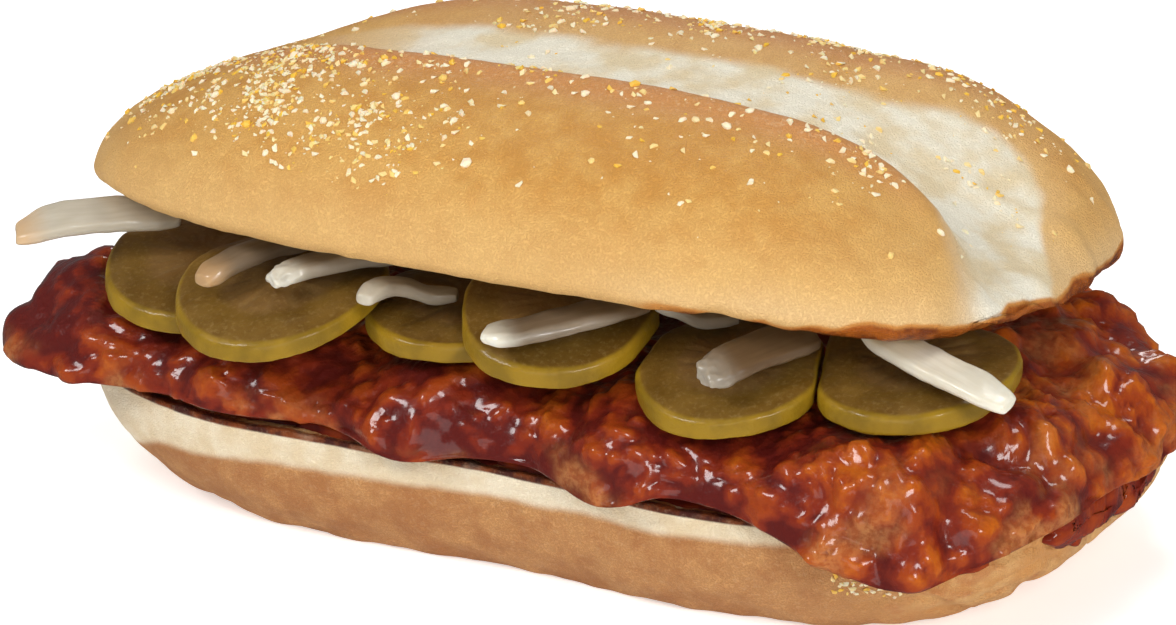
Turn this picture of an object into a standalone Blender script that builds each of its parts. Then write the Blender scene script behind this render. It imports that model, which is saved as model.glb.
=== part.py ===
"""Barbecue pork sandwich in a split roll.

A long roll is cut into a heel and a crown. A formed pork patty with pressed ribs lies on the
heel and hangs over both ends. Six pickle slices and eight onion slivers lie on its front half,
and the crown rests on its back edge, with its front propped open by a few degrees.

+X runs along the roll, -Y is the side where the filling shows, +Z is up, and the heel stands on
Z = 0. Lengths are in metres.
"""

import math
import random

import bmesh
import bpy
from mathutils import Matrix, Vector, noise
from mathutils.bvhtree import BVHTree

MM = 0.001
GAP = 0.45 * MM

# Heel: the lower half of the roll.
HEEL_LENGTH = 133 * MM
HEEL_WIDTH = 75 * MM
HEEL_HEIGHT = 15.4 * MM
HEEL_POWER = 3.6
HEEL_FOOT = 0.8

# Crown: the upper half, measured from its cut face, then lifted and tipped back.
CROWN_LENGTH = 127 * MM
CROWN_WIDTH = 82 * MM
CROWN_HEIGHT = 22.4 * MM
CROWN_POWER = 3.0
CROWN_PLACE = Vector((-2.4 * MM, -1 * MM, 36.5 * MM))
CROWN_TILT = math.radians(-4.9)
BELLY_HEIGHT = 2.6 * MM
CUT_SHARE = 0.955
END_DROP = 2.8 * MM
NEAR_SAG = 2.0 * MM
UNDERSIDE_ARCH = 1.6 * MM

# Score: the slash along the top, which opened in the oven into a pale valley.
# Its two borders are given as x, front y and back y, in millimetres of the crown's own frame.
SCORE_DEPTH = 5.6 * MM
SCORE_START = -52 * MM
SCORE_BORDERS = [
    (-60, -6, 2),
    (-40, -15, 5),
    (-22, -18, 7),
    (0, -18, 5),
    (28, -17, 7),
    (38, -14, 11),
    (45, -12, 16),
    (52, -14, 13),
    (58, -20, 4),
    (63, -25, -6),
]

# Patty: formed pork with pressed ribs across it.
PATTY_LENGTH = 139 * MM
PATTY_WIDTH = 76 * MM
PATTY_POWER = 4.2
PATTY_PLACE_X = 0.5 * MM
PATTY_SAG = 6.5 * MM
PATTY_TOP = 26.6 * MM
PATTY_RISE = 5.4 * MM
RIB_PITCH = 29 * MM
RIB_PHASE = -8 * MM
RIB_SWELL = 1.0 * MM
RIB_RIDGE = 0.9 * MM

PICKLE_THICKNESS = 2.9 * MM

CRUST = ("crust", (0.73, 0.36, 0.11), 0.62)
MEAT = ("glazed_pork", (0.23, 0.035, 0.008), 0.22)
PICKLE = ("pickle", (0.24, 0.15, 0.012), 0.32)
ONION = ("onion", (0.62, 0.57, 0.43), 0.3)


def smoothstep(low, high, value):
    """0 below low, 1 above high, and a smooth rise between them."""
    t = min(1.0, max(0.0, (value - low) / (high - low)))
    return t * t * (3 - 2 * t)


def bump(distance, reach):
    """1 at no distance, falling smoothly to 0 at reach."""
    t = min(1.0, abs(distance) / reach)
    return (1 - t * t) ** 2


def grain(x, y, z, size, seed):
    """Smooth noise from -1 to 1, whose humps are about size apart."""
    return noise.noise(Vector((x / size + seed, y / size - seed, z / size + 2 * seed)))


class Oblong:
    """A rounded oblong outline. A point's share is 0 at the middle and 1 on the outline."""

    def __init__(self, length, width, power, swell=None):
        self.half = (length / 2, width / 2)
        self.power = power
        self.swell = swell or (lambda x, y: 0.0)

    def norm(self, u, v):
        return (abs(u) ** self.power + abs(v) ** self.power) ** (1 / self.power)

    def edge(self, angle):
        """The outline's point in the direction angle, taken in the oblong scaled to a unit."""
        u, v = math.cos(angle), math.sin(angle)
        size = self.norm(u, v)
        x, y = u / size * self.half[0], v / size * self.half[1]
        stretch = 1 + self.swell(x, y) / math.hypot(x, y)
        return x * stretch, y * stretch

    def share(self, x, y):
        u, v = x / self.half[0], y / self.half[1]
        if u == 0 and v == 0:
            return 0.0
        edge = self.edge(math.atan2(v, u))
        return math.hypot(x, y) / math.hypot(*edge)

    def even_angles(self, count, fine=2400):
        """Directions whose points lie evenly along the outline."""
        angles = [2 * math.pi * i / fine for i in range(fine + 1)]
        points = [self.edge(a) for a in angles]
        run = [0.0]
        for a, b in zip(points, points[1:]):
            run.append(run[-1] + math.dist(a, b))
        chosen, i = [], 0
        for k in range(count):
            while run[i] < run[-1] * k / count:
                i += 1
            chosen.append(angles[i])
        return chosen

    def ring(self, share, count):
        return [(share * x, share * y) for x, y in map(self.edge, self.even_angles(count))]


def material_of(kind):
    """The material of that kind: its name, base colour and roughness."""
    name, colour, roughness = kind
    material = bpy.data.materials.get(name)
    if material is None:
        material = bpy.data.materials.new(name)
        material.use_nodes = True
        shader = material.node_tree.nodes["Principled BSDF"]
        shader.inputs["Base Color"].default_value = (*colour, 1)
        shader.inputs["Roughness"].default_value = roughness
        shader.inputs["Metallic"].default_value = 0
    return material


def ring_solid(name, first, rings, last, kind):
    """A closed solid: a point, the rings in order, and a point. Rings run anticlockwise, upwards."""
    shape = bmesh.new()
    loops = [[shape.verts.new(p) for p in ring] for ring in rings]
    for lower, upper in zip(loops, loops[1:]):
        for i in range(len(lower)):
            j = (i + 1) % len(lower)
            shape.faces.new((lower[i], lower[j], upper[j], upper[i]))
    for loop, pole, turn in ((loops[0], first, -1), (loops[-1], last, 1)):
        tip = shape.verts.new(pole)
        for i in range(len(loop)):
            corners = (loop[i], loop[(i + 1) % len(loop)], tip)
            shape.faces.new(corners[::turn])
    mesh = bpy.data.meshes.new(name)
    shape.to_mesh(mesh)
    shape.free()
    mesh.shade_smooth()
    mesh.materials.append(material_of(kind))
    made = bpy.data.objects.new(name, mesh)
    bpy.context.scene.collection.objects.link(made)
    return made


def heel_swell(x, y):
    """The heel is a little waisted at mid length and fuller beside that."""
    waist = -1.6 * MM * bump(x - 4 * MM, 22 * MM) + 1.8 * MM * bump(x + 38 * MM, 20 * MM)
    return waist + 0.6 * MM * grain(x, y, 0, 22 * MM, 3)


HEEL = Oblong(HEEL_LENGTH, HEEL_WIDTH, HEEL_POWER, heel_swell)


def heel_top(x, y):
    """The heel's cut face: nearly flat, with a slightly raised and wavy rim."""
    share = HEEL.share(x, y)
    lip = 0.5 * MM * smoothstep(0.82, 0.95, share)
    return HEEL_HEIGHT - 0.5 * MM + lip + 0.3 * MM * grain(x, y, 0, 17 * MM, 8) * share


def build_heel(around=72):
    """The lower half of the roll, with a flat foot, bowed sides and a flat cut face."""
    rings = []
    for share in (0.5, 0.97):
        rings.append([(x, y, 0) for x, y in HEEL.ring(HEEL_FOOT * share, around)])
    for rise in (0.03, 0.13, 0.28, 0.46, 0.66, 0.84, 0.95):
        share = 1 - (1 - HEEL_FOOT) * (1 - rise) ** 2.6
        rings.append([(x, y, rise * heel_top(x, y)) for x, y in HEEL.ring(share, around)])
    for share in (0.988, 0.955, 0.9, 0.7, 0.42):
        rings.append([(x, y, heel_top(x, y)) for x, y in HEEL.ring(share, around)])
    return ring_solid("roll_heel", (0, 0, 0), rings, (0, 0, heel_top(0, 0)), CRUST)


def crown_swell(x, y):
    return 0.8 * MM * grain(x, y, 0, 30 * MM, 5)


CROWN = Oblong(CROWN_LENGTH, CROWN_WIDTH, CROWN_POWER, crown_swell)


def score_border(x, side):
    """The front (1) or back (2) border of the score at x, as a smoothed line."""

    def straight(at):
        if at <= SCORE_BORDERS[0][0]:
            return SCORE_BORDERS[0][side]
        for low, high in zip(SCORE_BORDERS, SCORE_BORDERS[1:]):
            if at <= high[0]:
                share = (at - low[0]) / (high[0] - low[0])
                return low[side] + share * (high[side] - low[side])
        return SCORE_BORDERS[-1][side]

    around = [x / MM + step for step in (-4, -2, 0, 2, 4)]
    return sum(map(straight, around)) / len(around) * MM


def score_open(x, y):
    """How deep the score is, from 0 to 1: steep at its front lip, and gently rising to the back."""
    front, back = score_border(x, 1), score_border(x, 2)
    across = (y - front) / (back - front)
    fall = smoothstep(-0.12, 0.28, across)
    rise = 1 - smoothstep(0.4, 1.4, across)
    return fall * rise * smoothstep(SCORE_START, SCORE_START + 26 * MM, x)


def crown_top(x, y, share):
    """The crown's outer face above its belly."""
    dome = max(0.0, 1 - share**2.6) ** 0.588
    height = BELLY_HEIGHT + (CROWN_HEIGHT - BELLY_HEIGHT) * dome
    fade = smoothstep(0.0, 0.75, dome)
    valley = SCORE_DEPTH * score_open(x, y) * (0.25 + 0.75 * fade)
    uneven = 0.7 * MM * grain(x, y, 0, 28 * MM, 11) * fade
    ends = END_DROP * smoothstep(22 * MM, 62 * MM, abs(x)) * fade
    return height - valley - ends + uneven


def cut_plane(x, y):
    """The height of the crown's cut face over a place in the sandwich."""
    level = CROWN_PLACE.z - near_sag(x - CROWN_PLACE.x)
    return level + (y - CROWN_PLACE.y) * math.tan(CROWN_TILT)


def crown_underside(x, y, share):
    """The cut face, slightly arched, with an uneven pressed edge."""
    arch = UNDERSIDE_ARCH * (1 - share**2)
    return arch + 0.35 * MM * grain(x, y, 0, 13 * MM, 21) * share


def near_sag(x):
    """How far the crown's near end has sunk."""
    return NEAR_SAG * smoothstep(30 * MM, 62 * MM, x)


def crown_rings(around):
    """The crown's rings, from its cut face's middle over the belly to its top."""
    rings = []
    for share in (0.35, 0.65, 0.86, 0.94):
        ring = CROWN.ring(share * CUT_SHARE / 0.94, around)
        rings.append([(x, y, crown_underside(x, y, share)) for x, y in ring])
    for share, rise in ((0.978, 0.25), (0.996, 0.6)):
        rings.append([(x, y, rise * BELLY_HEIGHT) for x, y in CROWN.ring(share, around)])
    for share in (1.0, 0.994, 0.976, 0.945, 0.9, 0.845, 0.78, 0.7, 0.61, 0.51, 0.4, 0.28, 0.14):
        ring = CROWN.ring(share, around)
        rings.append([(x, y, crown_top(x, y, share)) for x, y in ring])
    return [[(x, y, z - near_sag(x)) for x, y, z in ring] for ring in rings]


def make_grain(name, place, outward, size, draw):
    """One angular grain of cornmeal, bedded in the crust."""
    shape = bmesh.new()
    bmesh.ops.create_icosphere(shape, subdivisions=1, radius=size / 2)
    for corner in shape.verts:
        corner.co *= draw.uniform(0.82, 1.15)
    turn = Vector((0, 0, 1)).rotation_difference(outward).to_matrix().to_4x4()
    spin = Matrix.Rotation(draw.uniform(0, 2 * math.pi), 4, "Z")
    flat = Matrix.Diagonal((1.15, 0.9, 0.72, 1))
    shape.transform(Matrix.Translation(place) @ turn @ spin @ flat)
    mesh = bpy.data.meshes.new(name)
    shape.to_mesh(mesh)
    shape.free()
    return bpy.data.objects.new(name, mesh)


def grain_chance(x, y):
    """How thickly the cornmeal lies: most at the far end and along the lobes' crests."""
    far_end = 0.16 + 0.84 * (1 - smoothstep(-50 * MM, 8 * MM, x))
    crest = 0.25 + 0.75 * bump(abs(y + 3 * MM) - 20 * MM, 15 * MM)
    return far_end * crest * (1 - 0.75 * score_open(x, y))


def build_crown(around=68, grains=72):
    """The upper half of the roll: two browned lobes, the pale score and the largest grains."""
    rings = crown_rings(around)
    crown = ring_solid(
        "roll_crown",
        (0, 0, crown_underside(0, 0, 0)),
        rings,
        (0, 0, crown_top(0, 0, 0)),
        CRUST,
    )
    draw = random.Random(7)
    holder = bpy.data.collections.new("cornmeal")
    bpy.context.scene.collection.children.link(holder)
    surface = BVHTree.FromObject(crown, bpy.context.evaluated_depsgraph_get())
    spots = []
    while len(spots) < grains:
        x, y = draw.uniform(-66 * MM, 62 * MM), draw.uniform(-37 * MM, 34 * MM)
        apart = all(math.dist(spot, (x, y)) > 3.4 * MM for spot in spots)
        if CROWN.share(x, y) > 0.95 or not apart or draw.random() > grain_chance(x, y):
            continue
        spots.append((x, y))
        size = draw.uniform(1.2, 1.9) * MM
        place, outward = surface.ray_cast(Vector((x, y, 0.05)), Vector((0, 0, -1)))[:2]
        holder.objects.link(make_grain(f"grain_{len(spots):02d}", place, outward, size, draw))
    union = crown.modifiers.new("grains", "BOOLEAN")
    union.operation = "UNION"
    union.operand_type = "COLLECTION"
    union.collection = holder
    graph = bpy.context.evaluated_depsgraph_get()
    fused = bpy.data.meshes.new_from_object(crown.evaluated_get(graph))
    crown.modifiers.clear()
    crown.data = fused
    for made in list(holder.objects):
        bpy.data.objects.remove(made)
    bpy.data.collections.remove(holder)
    crown.location = CROWN_PLACE
    crown.rotation_euler = (CROWN_TILT, 0, 0)
    return crown


# Places where the patty's outline is pushed out: place, reach and push.
BULGES = [
    (Vector((-66, -34)) * MM, 27 * MM, 8.5 * MM),
    (Vector((-52, -40)) * MM, 12 * MM, 2.0 * MM),
    (Vector((-34, -40)) * MM, 11 * MM, 3.0 * MM),
    (Vector((-12, -39)) * MM, 11 * MM, 2.0 * MM),
    (Vector((16, -39)) * MM, 12 * MM, 2.4 * MM),
    (Vector((43, -41)) * MM, 18 * MM, 6.0 * MM),
    (Vector((61, -39)) * MM, 20 * MM, 5.6 * MM),
    (Vector((70, 0)) * MM, 14 * MM, 1.0 * MM),
    (Vector((68, 34)) * MM, 30 * MM, -9.0 * MM),
    (Vector((-70, 12)) * MM, 16 * MM, 1.6 * MM),
    (Vector((-68, 34)) * MM, 20 * MM, -3.0 * MM),
    (Vector((40, 39)) * MM, 18 * MM, 1.8 * MM),
    (Vector((-24, 39)) * MM, 16 * MM, 1.5 * MM),
]


def patty_swell(x, y):
    """The ribs' ends push the outline out, and so do a few sagging bulges."""
    rib = math.cos(2 * math.pi * (x - RIB_PHASE) / RIB_PITCH)
    side = smoothstep(0.55, 0.95, abs(y) / (PATTY_WIDTH / 2))
    pushed = sum(p * bump((Vector((x, y)) - at).length, r) for at, r, p in BULGES)
    uneven = 1.0 * MM * grain(x, y, 0, 14 * MM, 14)
    return RIB_SWELL * rib * side + pushed + uneven


PATTY = Oblong(PATTY_LENGTH, PATTY_WIDTH, PATTY_POWER, patty_swell)

# Lumps that stand out on the patty: place, reach and height.
LUMPS = [
    (Vector((66, 4)) * MM, 8 * MM, 2.6 * MM),
    (Vector((64, -12)) * MM, 9 * MM, 2.2 * MM),
    (Vector((57, -29)) * MM, 10 * MM, 1.8 * MM),
    (Vector((44, -35)) * MM, 9 * MM, 1.4 * MM),
    (Vector((-64, -28)) * MM, 15 * MM, 4.6 * MM),
    (Vector((-52, -36)) * MM, 9 * MM, 1.8 * MM),
    (Vector((-64, -8)) * MM, 10 * MM, 1.2 * MM),
    (Vector((-63, 14)) * MM, 11 * MM, 1.6 * MM),
    (Vector((60, 22)) * MM, 11 * MM, 1.8 * MM),
]


def patty_crest(x, y):
    """The patty's top before its edge rounds off: ribbed, lumpy and pressed flat by the crown."""
    rise = PATTY_RISE * smoothstep(-34 * MM, 34 * MM, y)
    ridge = RIB_RIDGE * math.cos(2 * math.pi * (x - RIB_PHASE) / RIB_PITCH)
    uneven = 0.9 * MM * grain(x, y, 0, 11 * MM, 17)
    lumps = sum(h * bump((Vector((x, y)) - at).length, r) for at, r, h in LUMPS)
    pressed = cut_plane(x + PATTY_PLACE_X, y) - 2 * GAP
    return min(PATTY_TOP + rise + ridge + uneven + lumps, pressed)


def patty_bottom_face(x, y):
    """Flat on the heel, and sagging where it hangs past the heel's rim."""
    past = HEEL.share(x + PATTY_PLACE_X, y)
    near = 0.2 + 0.8 * smoothstep(-50 * MM, 10 * MM, x)
    return HEEL_HEIGHT + 0.3 * MM + GAP - near * PATTY_SAG * smoothstep(1.03, 1.2, past)


def patty_heights(x, y, share):
    """The heights of the bottom and the top at a point, which meet on the outline."""
    low, high = patty_bottom_face(x, y), patty_crest(x, y)
    waist = low + 0.2 * (high - low)
    swell = max(0.0, 1 - share**5) ** 0.5
    crag = 0.5 * MM * grain(x, y, 0, 6 * MM, 31) * smoothstep(0.6, 0.9, share) * swell
    return waist - (waist - low) * min(1.0, 1.15 * swell), waist + (high - waist) * swell + crag


def patty_top(x, y):
    local = x - PATTY_PLACE_X
    share = PATTY.share(local, y)
    return patty_heights(local, y, share)[1] if share < 1 else 0.0


def build_patty(around=88):
    """The pork patty, one solid out to its uneven edge."""
    rings = []
    for share in (0.3, 0.6, 0.8, 0.9, 0.955, 0.988):
        ring = PATTY.ring(share, around)
        rings.append([(x, y, patty_heights(x, y, share)[0]) for x, y in ring])
    for share in (1.0, 0.99, 0.965, 0.925, 0.87, 0.79, 0.69, 0.57, 0.43, 0.28, 0.13):
        ring = PATTY.ring(share, around)
        rings.append([(x, y, patty_heights(x, y, share)[1]) for x, y in ring])
    low, high = patty_heights(0, 0, 0)
    patty = ring_solid("pork_patty", (0, 0, low), rings, (0, 0, high), MEAT)
    patty.location.x = PATTY_PLACE_X
    return patty


class Slice:
    """A round slice of pickle: laid leaning, as low as it can lie clear of what is below it."""

    def __init__(self, name, centre, radius, lean, squash=1.0):
        self.name, self.centre, self.radius = name, Vector(centre) * MM, radius * MM
        self.lean, self.squash = lean, squash
        self.beside, self.level = [], 0.0

    def reach(self, angle):
        """The outline's distance from the centre, cut back where a neighbour presses on it."""
        oval = 1 / math.hypot(math.cos(angle), math.sin(angle) / self.squash)
        way = Vector((math.cos(angle), math.sin(angle), self.centre.x / MM))
        far = self.radius * oval * (1 + 0.035 * noise.noise(way))
        for other in self.beside:
            apart = other.centre - self.centre
            facing = way.xy.dot(apart.normalized())
            share = self.radius / (self.radius + other.radius)
            if facing > 0:
                far = min(far, (apart.length * share - GAP / 2) / facing)
        return far

    def share(self, x, y):
        away = Vector((x, y)) - self.centre
        return away.length / self.reach(math.atan2(away.y, away.x))

    def bottom(self, x, y):
        """The underside: level at the back, bent down to the front about a soft hinge."""
        away = Vector((x, y)) - self.centre
        back = away.y - 2 * MM
        hinge = (back - math.hypot(back, 4 * MM)) / 2
        return self.level + away.x * self.lean[0] + hinge * self.lean[1]

    def top(self, x, y):
        rim = 0.3 * MM * smoothstep(0.86, 1.0, self.share(x, y))
        return self.bottom(x, y) + PICKLE_THICKNESS - rim

    def spots(self, share, count=28):
        """Places evenly around the slice at that share of its reach."""
        for i in range(count):
            angle = 2 * math.pi * i / count
            far = share * self.reach(angle)
            yield self.centre.x + far * math.cos(angle), self.centre.y + far * math.sin(angle)

    def settle(self, ground):
        """Lower the slice until it nearly touches the ground, a height over any place."""
        shares = (0.0, 0.2, 0.4, 0.6, 0.7, 0.8, 0.9, 1.0, 1.04)
        places = [spot for share in shares for spot in self.spots(share, 48)]
        self.level = max(ground(x, y) - self.bottom(x, y) for x, y in places) + GAP

    def build(self):
        """The solid: each layer is a share of the reach, the face it follows and a lift."""
        deep = PICKLE_THICKNESS
        layers = [(0.45, self.bottom, 0), (0.8, self.bottom, 0), (0.97, self.bottom, 0)]
        layers += [(1.0, self.bottom, 0.14 * deep), (1.0, self.bottom, 0.78 * deep)]
        layers += [(0.95, self.top, 0), (0.78, self.top, 0), (0.45, self.top, 0)]
        rings = []
        for share, face, lift in layers:
            rings.append([(x, y, face(x, y) + lift) for x, y in self.spots(share)])
        x, y = self.centre
        return ring_solid(self.name, (x, y, self.bottom(x, y)), rings, (x, y, self.top(x, y)), PICKLE)


def lay_pickles():
    """The slices, in the order in which they are laid, so that each rests on the ones before."""
    one = Slice("pickle_1", (-44.5, -26), 12.3, (-0.08, 0.3))
    three = Slice("pickle_3", (-8, -25), 12.3, (0.0, 0.15))
    two = Slice("pickle_2", (-28.5, -34), 13, (0.02, 0.4), squash=0.94)
    four = Slice("pickle_4", (6.5, -28.5), 12, (-0.12, 0.4), squash=0.95)
    five = Slice("pickle_5", (29, -27), 11.8, (0, 0.36), squash=0.96)
    six = Slice("pickle_6", (48, -20), 12.6, (0, 0.24))
    four.beside, five.beside, six.beside = [five], [four, six], [five]
    laid = []
    for slice in (one, three, two, four, five, six):
        below = [s for s in laid if s not in slice.beside]
        slice.settle(lambda x, y: ground_height(x, y, below))
        laid.append(slice)
        slice.build()
    return laid


def ground_height(x, y, slices):
    """The top of what lies at a place: one of the slices, the patty or the heel."""
    tops = [slice.top(x, y) for slice in slices if slice.share(x, y) < 1.04]
    return max([patty_top(x, y), HEEL_HEIGHT, *tops])


class Sliver:
    """A curved strip of onion, from its tip out in the open to its root under the crown.

    The tip, middle and root are places in plan, with the height of each above what lies there.
    """

    def __init__(self, name, tip, middle, root, width, thickness, roll=0.0):
        self.name = name
        self.points = [Vector(p) * MM for p in (tip, middle, root)]
        self.width, self.thickness, self.roll = width * MM, thickness * MM, roll

    def path(self, t):
        a, b, c = self.points
        at = a * (1 - t) ** 2 + b * 2 * t * (1 - t) + c * t * t
        along = (b - a) * (1 - t) + (c - b) * t
        return at, Vector((along.x, along.y, 0)).normalized()

    def levels(self, sections, ground):
        """The axis height at each section: a smooth line that clears the ground all along."""
        needed = []
        for k in range(sections):
            at, along = self.path(k / (sections - 1))
            side = Vector((-along.y, along.x, 0))
            spots = [at + side * self.width * s for s in (-0.5, -0.25, 0, 0.25, 0.5)]
            tall = abs(math.sin(self.roll)) * self.width / 2 + self.thickness / 2
            needed.append(max(ground(p.x, p.y) for p in spots) + tall + GAP)
        sag = 0.11 * MM
        spans = range(sections)
        return [max(needed[k] - sag * (k - j) ** 2 for k in spans) for j in spans]

    def build(self, ground, sections=9, around=8):
        rings = []
        levels = self.levels(sections, ground)
        for k, level in enumerate(levels):
            t = k / (sections - 1)
            at, along = self.path(t)
            at = Vector((at.x, at.y, level + at.z))
            side = Vector((-along.y, along.x, 0))
            up = Vector((0, 0, 1))
            end = 0.62 + 0.38 * smoothstep(0, 0.16, min(t, 1 - t))
            ring = []
            for i in range(around):
                angle = 2 * math.pi * i / around
                u = math.copysign(abs(math.cos(angle)) ** 0.6, math.cos(angle))
                v = math.copysign(abs(math.sin(angle)) ** 0.6, math.sin(angle))
                u, v = u * self.width / 2 * end, v * self.thickness / 2 * end
                cos, sin = math.cos(self.roll), math.sin(self.roll)
                ring.append(at + side * (u * cos - v * sin) + up * (u * sin + v * cos))
            rings.append(ring)
        ends = [sum(ring, Vector()) / around for ring in (rings[0], rings[-1])]
        return ring_solid(self.name, ends[0], rings, ends[1], ONION)


def lay_onions():
    """The slivers from the far end to the near end: three places, width, thickness and roll."""
    return [
        Sliver("onion_1", (-64, -38, 2.6), (-56, -32, 2), (-48, -26, 0.8), 5.5, 2.4, roll=0.5),
        Sliver("onion_2", (-34.5, -42, 0.8), (-33, -36, 0.6), (-28, -28, 0), 4.5, 2.4),
        Sliver("onion_3", (-26, -40, 0.6), (-22, -34, 0.4), (-15, -27, 0), 4.6, 2.4),
        Sliver("onion_4", (-13.5, -39.5, 0.2), (-14.5, -32, 0.2), (-7, -29, 0), 3.2, 2.0, roll=0.2),
        Sliver("onion_5", (3.5, -41, 0.5), (10, -39, 0.4), (17.5, -28, 0), 6.5, 2.2),
        Sliver("onion_6", (18.5, -27.5, 0.6), (22, -25, 0.4), (26, -21, 0), 3.4, 2.0),
        Sliver("onion_7", (30, -37.5, 0.4), (33, -31, 0.3), (38, -25, 0), 5.6, 2.2, roll=0.45),
        Sliver("onion_8", (43.5, -23, 1.4), (53, -28, 1), (64.5, -30, 0), 5.0, 2.2, roll=0.3),
    ]


def clear_scene():
    for old in list(bpy.data.objects):
        bpy.data.objects.remove(old)


def centre_over_origin():
    """Move the whole sandwich, so that its bounding box is centred over the origin."""
    bpy.context.view_layer.update()
    pieces = list(bpy.context.scene.objects)
    corners = [piece.matrix_world @ v.co for piece in pieces for v in piece.data.vertices]
    for axis in (0, 1):
        along = [corner[axis] for corner in corners]
        middle = (min(along) + max(along)) / 2
        for piece in pieces:
            piece.location[axis] -= middle


def main():
    clear_scene()
    build_heel()
    build_patty()
    slices = lay_pickles()
    for onion in lay_onions():
        onion.build(lambda x, y: ground_height(x, y, slices))
    build_crown()
    centre_over_origin()


main()
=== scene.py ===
# %% [markdown]
# # A barbecue pork sandwich
# The object is a long soft roll, cut in two, with a formed pork patty in barbecue sauce, pickle
# slices and slivers of raw onion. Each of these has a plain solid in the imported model. This lesson
# builds what is seen in its place: finer shapes with cornmeal and sauce on them, and materials
# made of nodes.

import math
import random

import bmesh
import bpy
import numpy as np
from mathutils import Matrix, Vector, noise
from mathutils.bvhtree import BVHTree


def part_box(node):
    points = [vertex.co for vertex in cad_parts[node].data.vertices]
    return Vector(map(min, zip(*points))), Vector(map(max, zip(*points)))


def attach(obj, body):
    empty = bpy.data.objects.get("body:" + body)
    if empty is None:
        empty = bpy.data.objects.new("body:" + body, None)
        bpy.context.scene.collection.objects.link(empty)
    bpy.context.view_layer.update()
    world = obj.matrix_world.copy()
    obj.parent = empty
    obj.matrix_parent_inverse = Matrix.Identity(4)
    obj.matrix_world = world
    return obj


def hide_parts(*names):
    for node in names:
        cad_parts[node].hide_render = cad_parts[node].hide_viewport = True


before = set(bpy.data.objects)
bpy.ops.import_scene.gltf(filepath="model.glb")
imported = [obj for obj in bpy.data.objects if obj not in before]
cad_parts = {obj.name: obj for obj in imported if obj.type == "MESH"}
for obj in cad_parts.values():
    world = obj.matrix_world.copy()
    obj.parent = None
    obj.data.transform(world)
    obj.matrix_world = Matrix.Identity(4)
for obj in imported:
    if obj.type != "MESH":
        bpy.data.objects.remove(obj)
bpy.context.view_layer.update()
MM = 0.001

# %% [markdown]
# The solids were drawn around the middle of the heel, the lower half of the roll, and then moved
# so that the whole box is centred. The heel's own box tells where its middle went. The heel's
# edge is a little uneven, so the middle of the drawing lies HEEL_OFF from the middle of that box.

# %% Find the middle of the heel
heel_low, heel_high = (np.array(corner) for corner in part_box("roll_heel"))
HEEL_OFF = np.array((0.044, 0.082, 0)) * MM
HOME = (heel_low + heel_high) / 2 + HEEL_OFF
HOME[2] = 0
print("heel middle in mm:", np.round(HOME / MM, 2).tolist())

# %% [markdown]
# ## Camera
# The photograph looks down a little on the near right corner with a long lens. The camera stands
# 0.6 m from a point inside the sandwich. It aims a few millimetres beside that point, which puts
# the sandwich where it is in the picture without any lens shift.

# %% Camera
CAMERA_AZIMUTH = math.radians(28.4)
CAMERA_ELEVATION = math.radians(18.8)
CAMERA_DISTANCE = 0.6
CAMERA_LENS = 150.0
CAMERA_AIM_HEIGHT = 28 * MM
AIM_LEFT = 4.77 * MM
AIM_DOWN = 4.28 * MM


def placed(name, data):
    """A new object made of a mesh, lamp or camera, linked to the scene."""
    made = bpy.data.objects.new(name, data)
    bpy.context.scene.collection.objects.link(made)
    return made


def turn_to(thing, aim):
    """Turn a lamp or a camera to a place."""
    thing.rotation_euler = (aim - thing.location).to_track_quat("-Z", "Y").to_euler()


def add_camera():
    """The camera at the photograph's angle, framed for a picture of 1176 by 625."""
    sin_a, cos_a = math.sin(CAMERA_AZIMUTH), math.cos(CAMERA_AZIMUTH)
    sin_e, cos_e = math.sin(CAMERA_ELEVATION), math.cos(CAMERA_ELEVATION)
    right = Vector((cos_a, sin_a, 0))
    back = Vector((sin_a * cos_e, -cos_a * cos_e, sin_e))
    up = back.cross(right)
    target = Vector(HOME) + Vector((0, 0, CAMERA_AIM_HEIGHT))
    lens = bpy.data.cameras.new("camera")
    lens.lens = CAMERA_LENS
    lens.sensor_width = 36
    lens.clip_start = 0.01
    camera = placed("camera", lens)
    camera.location = target + back * CAMERA_DISTANCE
    turn_to(camera, target - right * AIM_LEFT - up * AIM_DOWN)
    bpy.context.scene.camera = camera
    return camera


camera = add_camera()
print("camera in mm:", [round(v / MM) for v in camera.location])

# %% [markdown]
# ## Stage and light
# The photograph is a studio shot on white. The large floor glows a little and throws light back
# from below. A bright world or floor would lay a grey veil on the dark sauce, because a glossy skin
# mirrors them from every side. So the world is dim here, and the floor and five broad lamps work
# without showing in the gloss. Four glint lamps and a low one are seen in it, as short bright
# patches with deep colour between.

# %% Floor, world and lamps
FLOOR_HALF = 3.0
FLOOR_LEVEL = -0.02 * MM
FLOOR_PAPER = {
    "Base Color": (0.9, 0.9, 0.9, 1),
    "Emission Color": (1, 1, 1, 1),
    "Emission Strength": 0.5,
    "Roughness": 0.8,
    "Specular IOR Level": 0.1,
}
WORLD_STRENGTH = 0.12
LAMP_AIM = Vector((0, 0, 0.025))
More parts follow.
